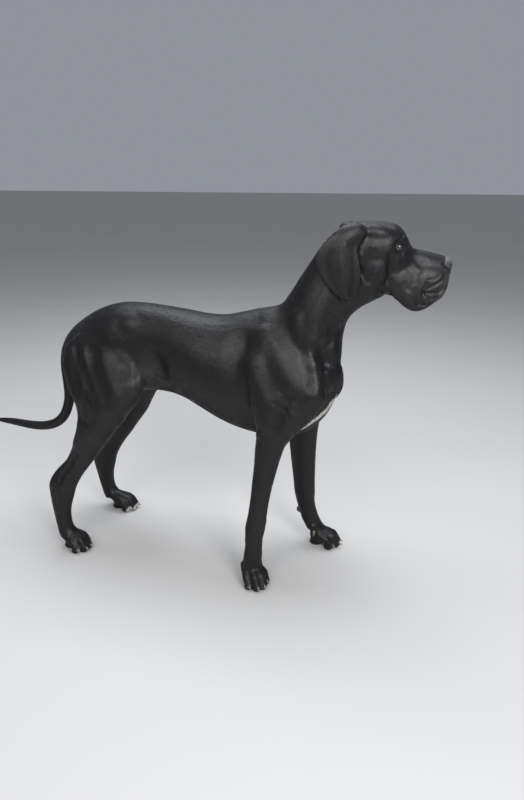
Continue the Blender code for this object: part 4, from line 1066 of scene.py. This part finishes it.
def unwrapped(points):
    """Each point's place on the sheet of cells, four across and two up, 0 to 1."""
    cell, angle, along = part_of(points)
    across = (angle / (2 * math.pi) + 0.5) * 0.235 + 0.0075
    up = along * 0.48 + 0.01
    return np.stack([across + (cell % 4) * 0.25, up + (cell // 4) * 0.5], axis=1), cell


def plain_mesh(name, points, faces, masks):
    """A smooth mesh piece in the frame's place, with its masks as attributes."""
    mesh = bpy.data.meshes.new(name)
    mesh.vertices.add(len(points))
    mesh.vertices.foreach_set("co", (points - SHIFT).astype(np.float32).ravel())
    mesh.loops.add(faces.size)
    mesh.loops.foreach_set("vertex_index", faces.astype(np.int32).ravel())
    mesh.polygons.add(len(faces))
    mesh.polygons.foreach_set("loop_start", np.arange(0, faces.size, faces.shape[1], dtype=np.int32))
    mesh.update(calc_edges=True)
    mesh.validate()
    mesh.shade_smooth()
    write_masks(mesh, masks)
    return linked(name, mesh)


def write_masks(mesh, masks):
    for key, values in masks.items():
        layer = mesh.attributes.new(key, "FLOAT", "POINT")
        layer.data.foreach_set("value", values.astype(np.float32))


def scatter(points, corners, masks, draw):
    """Where each tuft grows: its triangle of the skin, its root, and the normal there."""
    a, b, c = (points[corners[:, k]] for k in range(3))
    cross = np.cross(b - a, c - a)
    middle = (a + b + c) / 3
    bare = np.max([masks[key][corners].max(axis=1) for key in BARE], axis=0)
    chance = np.linalg.norm(cross, axis=1) / 2 * standing(middle) * (bare < 0.1) * (middle[:, 2] > 0.006)
    chance *= 1 / smallness(middle)
    pick = draw.choice(len(corners), TUFTS, p=chance / chance.sum())
    u, v = draw.random(TUFTS), draw.random(TUFTS)
    flip = u + v > 1
    u[flip], v[flip] = 1 - u[flip], 1 - v[flip]
    root = a[pick] + u[:, None] * (b - a)[pick] + v[:, None] * (c - a)[pick]
    return pick, root, cross[pick] / np.linalg.norm(cross[pick], axis=1, keepdims=True)


def tuft_shapes(points, corners, soft, pick, root, normal, draw):
    """The five points of each tuft, laid along the skin, and the normals it is shaded with."""
    lie = coat_lie(root) + draw.normal(0, 0.10, (TUFTS, 3))
    lie -= normal * (lie * normal).sum(axis=1, keepdims=True)
    lie /= np.maximum(np.linalg.norm(lie, axis=1, keepdims=True), 1e-9)
    small = smallness(root)
    length = TUFT_LENGTH * small * draw.uniform(0.75, 1.2, TUFTS)
    width = TUFT_WIDTH * small * draw.uniform(0.7, 1.2, TUFTS)
    lift = COAT_DEPTH * small * (0.25 + 0.30 * (standing(root) - 1) / 3) * draw.uniform(0.6, 1.5, TUFTS)

    tree = BVHTree.FromPolygons([tuple(p) for p in points], [tuple(t) for t in corners])
    mid, mid_normal = on_surface(tree, root + lie * (length * 0.45)[:, None], soft)
    tip, tip_normal = on_surface(tree, root + lie * length[:, None], soft)
    across = np.cross(normal, lie)
    ring = mid + normal * (lift * 0.55)[:, None]
    half = (width / 2)[:, None]
    verts = np.stack([
        root - normal * TUFT_SUNK,
        ring + across * half,
        ring - across * half,
        ring + normal * (0.00045 + 0.15 * lift)[:, None],
        tip + normal * lift[:, None],
    ], axis=1)
    tilt = across * draw.normal(0, TUFT_TILT[0], (TUFTS, 1))
    tilt += lie * draw.normal(0, TUFT_TILT[1], (TUFTS, 1))
    facing = np.stack([soft[pick], mid_normal, mid_normal, mid_normal, tip_normal], axis=1) + tilt[:, None]
    return verts, facing / np.linalg.norm(facing, axis=2, keepdims=True)


def make_coat(skin, masks, look):
    """Thin closed tufts that lie along the skin, denser and higher where the coat breaks the form."""
    draw = np.random.default_rng(SEED)
    points = coordinates(skin.data)
    corners = triangles_of(skin.data)
    soft = normals_of(skin.data)[corners].mean(axis=1)
    pick, root, normal = scatter(points, corners, masks, draw)
    verts, facing = tuft_shapes(points, corners, soft, pick, root, normal, draw)
    place, cell = unwrapped(root)
    shown = {key: values[corners[pick]].mean(axis=1) for key, values in masks.items()}
    names = piece_names(cell, root)
    for name in sorted(set(names)):
        chosen = np.flatnonzero(names == name)
        faces = (TUFT_FACES[None] + 5 * np.arange(len(chosen))[:, None, None]).reshape(-1, 3)
        chosen_masks = {key: np.repeat(values[chosen], 5) for key, values in shown.items()}
        chosen_masks["shade"] = np.repeat(draw.random(len(chosen)), 5)
        piece = plain_mesh("coat_" + name, verts[chosen].reshape(-1, 3), faces, chosen_masks)
        corner = read(piece.data.loops, "vertex_index", 1, int)[:, 0]
        patch = place[chosen][corner // 5] + PATCH_CORNERS[corner % 5]
        layer = piece.data.uv_layers.new(name="OFBake")
        layer.data.foreach_set("uv", np.clip(patch, 0, 1).astype(np.float32).ravel())
        piece.data.normals_split_custom_set_from_vertices(facing[chosen].reshape(-1, 3))
        piece.data.materials.append(look)
        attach(piece, "root")


def on_surface(tree, spots, soft):
    """The nearest place on the skin to each spot, and the smooth normal there."""
    found = [tree.find_nearest(spot) for spot in spots]
    return np.array([hit[0] for hit in found]), soft[[hit[2] for hit in found]]


def piece_names(cell, root):
    """The coat piece of each tuft: its cell, and in the large cells its side and half as well."""
    names = np.array(CELLS, dtype="U24")[cell]
    side = np.where(root[:, 1] < 0, "_right", "_left")
    half = np.where(root[:, 0] > 0.12, "_fore", "_rear")
    trunk, paired = names == "trunk", np.isin(names, ("head", "neck"))
    names[trunk] = np.char.add(np.char.add(names[trunk], half[trunk]), side[trunk])
    names[paired] = np.char.add(names[paired], side[paired])
    return names


def smallness(points):
    """The tufts' size on each place: full on the trunk, least on the face and the feet."""
    head = smooth_step((to_head(points)[:, 0] + 0.22) / 0.20) * (points[:, 2] > 0.72)
    feet = smooth_step((0.22 - points[:, 2]) / 0.16)
    return 1 - 0.62 * np.maximum(head, feet)


# Eyes, claws and whiskers

CORNEA_RADIUS = 0.009
CORNEA_BULGE = 0.0016


def make_eye(side, look):
    """The globe with its clear bulge in front, turned to look where the head looks."""
    centre, gaze, ahead, up = eye_axes(side)
    bm = bmesh.new()
    bmesh.ops.create_uvsphere(bm, u_segments=64, v_segments=48, radius=EYE_RADIUS)
    for vert in bm.verts:
        away = math.hypot(vert.co.x, vert.co.y)
        if vert.co.z > 0 and away < CORNEA_RADIUS:
            vert.co.z += CORNEA_BULGE * (1 - (away / CORNEA_RADIUS) ** 2) ** 1.2
    obj = object_from(bm, "eye_globe_" + SIDES[side])
    turn = Matrix((ahead, up, gaze)).transposed().to_4x4()
    if turn.to_3x3().determinant() < 0:
        turn = Matrix((-ahead, up, gaze)).transposed().to_4x4()
    obj.data.transform(turn)
    local = coordinates(obj.data) @ np.array(turn.to_3x3().inverted()).T
    away = np.hypot(local[:, 0], local[:, 1]) / CORNEA_RADIUS
    iris = np.where(local[:, 2] > 0, away, 3.0)
    write_masks(obj.data, {"iris": iris, "round": np.arctan2(local[:, 1], local[:, 0])})
    obj.location = Vector(centre) - Vector(SHIFT)
    obj.data.shade_smooth()
    obj.data.materials.append(look)
    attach(obj, "root")
    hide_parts("eye_" + SIDES[side])


def add_claw(bm, place, forward, across, turn):
    """A curved, tapering nail that leaves the toe forward and down."""
    a = math.radians(turn)
    ahead = np.array([math.cos(a), math.sin(a), 0])
    side = np.array([-math.sin(a), math.cos(a), 0])
    start = np.array([forward + 0.002, across, 0.0205])
    rows = []
    for t, size in ((0.0, 1.0), (0.3, 0.97), (0.6, 0.78), (0.85, 0.50), (1.0, 0.22)):
        dive = math.radians(18 + 42 * t)
        fore = ahead * math.sin(dive) + np.array([0, 0, math.cos(dive)])
        point = start + ahead * CLAW_LENGTH * t * math.cos(math.radians(30))
        point = point - np.array([0, 0, CLAW_LENGTH * 0.62 * t**1.5])
        thick = CLAW_RADIUS * size
        rows.append(np.concatenate([point, fore, side, (thick, thick * 0.8, thick * 0.72), (2, 2.6)]))
    loft(bm, rows, place, sides=20, step=0.0012)


def make_claws(look):
    """The nails of each paw in one piece, with the dewclaw of the front paws."""
    for key in PAWS:
        end, side = key.split("_")
        bm = bmesh.new()
        names = []
        for number, forward, across, turn in toe_layout(key):
            add_claw(bm, paw_matrix(key), forward, across, turn)
            names.append("%s_claw_%d_%s" % (end, number + 1, side))
        if key in THUMBS:
            base, lean = THUMBS[key], 12 if THUMBS[key][1] > 0 else -12
            place = paw_matrix(key) @ Matrix.Translation(base) @ Matrix.Rotation(math.radians(55), 4, "Y")
            add_claw(bm, place @ Matrix.Translation((-0.008, 0, -0.012)), 0, 0, lean)
            names.append("%s_claw_thumb_%s" % (end, side))
        bm.transform(Matrix.Translation(-Vector(SHIFT)))
        obj = object_from(bm, "nails_" + key)
        obj.data.shade_smooth()
        obj.data.materials.append(look)
        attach(obj, "root")
        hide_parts(*names)


def make_whiskers(skin, look):
    """Fine tapering whiskers on the lips, brows, cheeks and chin."""
    draw = np.random.default_rng(SEED + 1)
    tree = tree_of(skin)
    turn = np.array(head_matrix().to_3x3())
    bm = bmesh.new()
    seats = [(50 + 12 * column, -40 - 12 * row - 2 * column) for row in range(4) for column in range(4)]
    seats += [(-45, 20), (-38, 23), (-82, -74), (-80, -76), (86, -122), (70, -130)]
    for side in SIDES:
        for seat in seats:
            root = np.array(on_head_side(tree, seat, side)[0])
            way = turn @ np.array((-0.45 + draw.normal(0, 0.10), side * 0.80, -0.30 + draw.normal(0, 0.12)))
            way /= np.linalg.norm(way)
            reach = draw.uniform(0.016, 0.030)
            sag = turn @ np.array((-0.5, 0, -0.6))
            fore = np.cross(way, (0, 0, 1))
            rows = []
            for t in np.linspace(0, 1, 5):
                point = root + way * (reach * t - 0.001) + sag * (reach * 0.35 * t * t)
                rows.append(round_row(point, fore, np.cross(way, fore), 0.00032 * (1 - 0.85 * t)))
            loft(bm, rows, sides=5, step=0.004)
    bm.transform(Matrix.Translation(-Vector(SHIFT)))
    obj = object_from(bm, "whiskers")
    obj.data.shade_smooth()
    obj.data.materials.append(look)
    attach(obj, "root")


# Materials

class Look:
    """A material with its Principled shader and short calls for the nodes that feed it."""

    def __init__(self, name, **settings):
        self.material = bpy.data.materials.new(name)
        self.material.use_nodes = True
        self.tree = self.material.node_tree
        self.shader = self.tree.nodes["Principled BSDF"]
        for key, value in settings.items():
            self.shader.inputs[key.replace("_", " ")].default_value = value

    def node(self, kind, inputs=(), **settings):
        made = self.tree.nodes.new(kind)
        for key, value in settings.items():
            setattr(made, key, value)
        for socket, value in dict(inputs).items():
            if isinstance(value, bpy.types.NodeSocket):
                self.tree.links.new(value, made.inputs[socket])
            else:
                made.inputs[socket].default_value = value
        return made

    def mask(self, name):
        return self.node("ShaderNodeAttribute", attribute_name=name).outputs["Fac"]

    def place(self, stretch=(1, 1, 1)):
        where = self.node("ShaderNodeTexCoord").outputs["Object"]
        return self.node("ShaderNodeMapping", {0: where, "Scale": stretch}).outputs[0]

    def noise(self, scale, detail=3.0, stretch=(1, 1, 1)):
        inputs = {"Vector": self.place(stretch), "Scale": scale, "Detail": detail}
        return self.node("ShaderNodeTexNoise", inputs).outputs["Fac"]

    def ramp(self, value, low, high, out_low=0.0, out_high=1.0):
        inputs = {0: value, 1: low, 2: high, 3: out_low, 4: out_high}
        return self.node("ShaderNodeMapRange", inputs).outputs[0]

    def math(self, operation, a, b):
        return self.node("ShaderNodeMath", {0: a, 1: b}, operation=operation).outputs[0]

    def mix(self, factor, a, b):
        inputs = {"Factor": factor, 6: a, 7: b}
        return self.node("ShaderNodeMix", inputs, data_type="RGBA").outputs[2]

    def blend(self, factor, a, b):
        return self.node("ShaderNodeMix", {"Factor": factor, 2: a, 3: b}).outputs[0]

    def bump(self, height, depth, below=None):
        inputs = {"Height": height, "Distance": depth, "Strength": 1.0}
        if below is not None:
            inputs["Normal"] = below
        return self.node("ShaderNodeBump", inputs).outputs[0]

    def set(self, socket, value):
        self.tree.links.new(value, self.shader.inputs[socket])


BLACK = (0.004, 0.004, 0.0046, 1)
BLACK_WARM = (0.0075, 0.0064, 0.006, 1)
HAIR_GREY = (0.012, 0.0112, 0.0118, 1)
CHOP_GREY = (0.078, 0.072, 0.072, 1)
# The grey of the painted highlight on the flank's fold
FLANK_HIGHLIGHT_GREY = (0.045, 0.041, 0.04, 1)
WHITE_HAIR = (0.62, 0.59, 0.55, 1)
LIP_BLACK = (0.006, 0.0055, 0.0058, 1)
NOSE_BLACK = (0.016, 0.015, 0.016, 1)
# The nose's painted shade underneath and its painted highlight on top
NOSE_PAINTED_SHADE = (0.03, 0.029, 0.031, 1)
NOSE_PAINTED_HIGHLIGHT = (0.12, 0.117, 0.12, 1)
# The painted shade inside the nostrils
NOSTRIL_PAINTED_SHADE = (0.003, 0.003, 0.003, 1)
PAD_DARK = (0.045, 0.034, 0.032, 1)
PAD_CREASE = (0.02, 0.017, 0.017, 1)
LID_BLACK = (0.01, 0.009, 0.009, 1)
HAW_PINK = (0.085, 0.07, 0.066, 1)
SHEEN_BLUE = (0.75, 0.82, 1.0, 1)
PUPIL_BLACK = (0.002, 0.002, 0.002, 1)
IRIS_DARK, IRIS_BROWN = (0.01, 0.006, 0.004, 1), (0.036, 0.02, 0.011, 1)
IRIS_RIM = (0.012, 0.008, 0.006, 1)
EYE_WHITE, EYE_VEIN = (0.13, 0.095, 0.085, 1), (0.1, 0.045, 0.04, 1)
HORN_DARK, HORN_PALE = (0.17, 0.14, 0.115, 1), (0.27, 0.23, 0.19, 1)
WHISKER_BLACK, WHISKER_GREY = (0.01, 0.01, 0.01, 1), (0.03, 0.028, 0.027, 1)
FLOOR_DARK, FLOOR_PALE = (0.5, 0.49, 0.475, 1), (0.55, 0.54, 0.525, 1)
SKY_BLUE = (0.86, 0.9, 1.0, 1)


def marked_coat(look, fine, strands):
    """The black of the coat with its grey hairs, grizzled chops, the painted highlight on the flank's fold,
    and white marks.
    """
    colour = look.mix(look.ramp(look.noise(7.0), 0.35, 0.70), BLACK, BLACK_WARM)
    colour = look.mix(look.ramp(strands, 0.45, 0.80, 0.0, 0.45), colour, HAIR_GREY)
    grizzled = look.math("MULTIPLY", look.mask("chops"), look.ramp(fine, 0.3, 0.8, 0.25, 0.8))
    colour = look.mix(grizzled, colour, CHOP_GREY)
    # painted highlight: the flank's fold and the inside of the thighs, greyed as if lit
    painted_flank_highlight = look.math("MULTIPLY", look.mask("painted_flank_highlight"), look.ramp(fine, 0.2, 0.9, 0.5, 1.0))
    colour = look.mix(painted_flank_highlight, colour, FLANK_HIGHLIGHT_GREY)
    ragged = look.math("ADD", look.mask("blaze"), look.ramp(strands, 0.3, 0.7, -0.25, 0.25))
    colour = look.mix(look.ramp(ragged, 0.30, 0.62), colour, WHITE_HAIR)
    toes = look.math("ADD", look.mask("toe"), look.ramp(fine, 0.3, 0.7, -0.40, 0.20))
    return look.mix(look.ramp(toes, 0.25, 0.85, 0.0, 0.85), colour, WHITE_HAIR)


def bare_skin(look, colour, fine, pebbles):
    """The lips, the pebbled nose with a painted highlight on top and painted shade beneath, its nostrils
    painted with shade, the pads, and the wet rims of the lids.
    """
    colour = look.mix(look.mask("lip"), colour, LIP_BLACK)
    # painted highlight on top of the nose, painted shade underneath
    lit = look.mix(look.mask("nose_painted_highlight"), NOSE_PAINTED_SHADE, NOSE_PAINTED_HIGHLIGHT)
    colour = look.mix(look.mask("nose"), colour, look.mix(look.ramp(pebbles, 0.0, 0.6), NOSE_BLACK, lit))
    # painted shade: the nostrils are coloured near black, as the shade inside them
    colour = look.mix(look.ramp(look.mask("hole"), 0.5, 1.0), colour, NOSTRIL_PAINTED_SHADE)
    colour = look.mix(look.mask("pad"), colour, look.mix(look.ramp(fine, 0.3, 0.7), PAD_DARK, PAD_CREASE))
    colour = look.mix(look.mask("wet"), colour, LID_BLACK)
    return look.mix(look.mask("haw"), colour, HAW_PINK)


def coat_look(tufts=False):
    """The sleek black coat: on the tufts its colours alone, on the skin bare parts and bump as well."""
    name = "coat_tufts" if tufts else "coat_skin"
    look = Look(name, Roughness=0.40, Sheen_Weight=0.04, Sheen_Roughness=0.35)
    look.shader.inputs["Sheen Tint"].default_value = SHEEN_BLUE
    look.shader.inputs["Specular IOR Level"].default_value = 0.38
    fine = look.noise(60.0, 4.0)
    along, down = look.noise(900.0, 2.0, (0.10, 1, 1)), look.noise(900.0, 2.0, (1, 1, 0.10))
    strands = look.blend(look.mask("upright"), along, down)
    colour = marked_coat(look, fine, strands)
    rough = look.ramp(fine, 0.2, 0.8, 0.36, 0.50)
    if tufts:
        colour = look.mix(look.ramp(look.mask("shade"), 0.3, 1.0, 0.0, 0.4), colour, HAIR_GREY)
    else:
        pebbles = look.node("ShaderNodeTexVoronoi", {"Vector": look.place(), "Scale": 620.0})
        pebbles = pebbles.outputs["Distance"]
        colour = bare_skin(look, colour, fine, pebbles)
        for part, roughness in (("lip", 0.42), ("nose", 0.33), ("wet", 0.22)):
            rough = look.blend(look.mask(part), rough, roughness)
        hair = look.bump(strands, 0.00035)
        grain = look.bump(look.math("MULTIPLY", pebbles, look.mask("nose")), 0.0005, hair)
        look.set("Normal", look.bump(fine, 0.0006, grain))
    look.set("Base Color", colour)
    look.set("Roughness", rough)
    return look.material


def eye_look():
    """Pupil, rayed iris with its dark rim, and the white with its veins, under a clear wet coat."""
    look = Look("eye_wet", Roughness=0.08, Coat_Weight=1.0, Coat_Roughness=0.02)
    iris = look.mask("iris")
    rays = {"W": look.mask("round"), "Scale": 9.0, "Detail": 4.0}
    rays = look.node("ShaderNodeTexNoise", rays, noise_dimensions="1D").outputs["Fac"]
    colour = look.mix(look.ramp(iris, 0.36, 0.44), PUPIL_BLACK, look.mix(rays, IRIS_DARK, IRIS_BROWN))
    colour = look.mix(look.ramp(iris, 0.78, 0.92), colour, IRIS_RIM)
    white = look.mix(look.ramp(look.noise(500.0, 4.0), 0.5, 0.7), EYE_WHITE, EYE_VEIN)
    look.set("Base Color", look.mix(look.ramp(iris, 0.95, 1.10), colour, white))
    return look.material


def claw_look():
    look = Look("claw_horn", Roughness=0.38)
    streaks = look.noise(260.0, 3.0, (0.2, 1, 1))
    look.set("Base Color", look.mix(look.ramp(streaks, 0.3, 0.7), HORN_DARK, HORN_PALE))
    look.set("Roughness", look.ramp(streaks, 0.2, 0.8, 0.32, 0.48))
    look.set("Normal", look.bump(streaks, 0.0003))
    return look.material


def whisker_look():
    look = Look("whisker_black", Roughness=0.35)
    look.set("Base Color", look.mix(look.noise(300.0), WHISKER_BLACK, WHISKER_GREY))
    return look.material


# The room: pale floor, soft light and the photograph's camera

def make_stage():
    bm = bmesh.new()
    bmesh.ops.create_grid(bm, x_segments=1, y_segments=1, size=40)
    floor = object_from(bm, "floor")
    look = Look("floor_pale", Roughness=0.9)
    look.set("Base Color", look.mix(look.noise(0.6), FLOOR_DARK, FLOOR_PALE))
    floor.data.materials.append(look.material)
    world = bpy.data.worlds.new("studio")
    bpy.context.scene.world = world
    world.use_nodes = True
    sky = world.node_tree.nodes["Background"]
    sky.inputs["Color"].default_value = SKY_BLUE
    sky.inputs["Strength"].default_value = 0.33
    bpy.context.scene.view_settings.view_transform = "Standard"


def add_lamp(name, place, aim, size, power, colour):
    lamp = bpy.data.lights.new(name, "AREA")
    lamp.shape = "RECTANGLE"
    lamp.size, lamp.size_y = size
    lamp.energy = power
    lamp.color = colour
    obj = linked(name, lamp)
    obj.location = place
    obj.rotation_euler = (Vector(aim) - Vector(place)).to_track_quat("-Z", "Y").to_euler()


def make_lights():
    add_lamp("key", (0.0, -2.8, 2.7), (0.1, 0, 0.6), (2.4, 1.2), 48, (1.0, 0.98, 0.94))
    add_lamp("overhead", (0.0, 0.6, 3.4), (0, 0, 0.6), (3.0, 2.0), 112, (0.90, 0.94, 1.0))
    add_lamp("side", (1.9, -1.8, 1.9), (0.55, 0, 0.85), (1.0, 1.2), 48, (0.95, 0.97, 1.0))


def make_camera():
    lens = bpy.data.cameras.new("camera")
    lens.lens = CAMERA_LENS
    lens.sensor_width = 36
    lens.sensor_fit = "AUTO"
    camera = linked("camera", lens)
    camera.location = Vector(CAMERA_PLACE) - Vector(SHIFT)
    level = math.cos(CAMERA_DIP)
    ahead = Vector((-math.sin(CAMERA_TURN) * level, math.cos(CAMERA_TURN) * level, -math.sin(CAMERA_DIP)))
    camera.rotation_euler = ahead.to_track_quat("-Z", "Y").to_euler()
    bpy.context.scene.camera = camera


def frame_shift():
    """From the lofts' place to the frame's: the difference at the right eye, which both have."""
    low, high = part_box("eye_right")
    made = head_matrix() @ Vector((EYE_CENTRE[0], -EYE_CENTRE[1], EYE_CENTRE[2]))
    return np.array(made - (low + high) / 2)


SHIFT = frame_shift()


def main():
    make_stage()
    make_lights()
    make_camera()
    skin, masks = skin_and_masks()
    make_whiskers(skin, whisker_look())
    lie = coat_lie(coordinates(skin.data))
    masks["upright"] = smooth_step((np.abs(lie[:, 2]) - 0.3) / 0.5)
    make_coat(skin, masks, coat_look(tufts=True))
    write_masks(skin.data, masks)
    set_coordinates(skin.data, coordinates(skin.data) - SHIFT)
    skin.data.shade_smooth()
    skin.data.materials.append(coat_look())
    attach(skin, "root")
    separate = ("eye_", "fore_claw_", "hind_claw_")
    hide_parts(*[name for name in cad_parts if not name.startswith(separate)])
    eyes = eye_look()
    for side in SIDES:
        make_eye(side, eyes)
    make_claws(claw_look())


main()
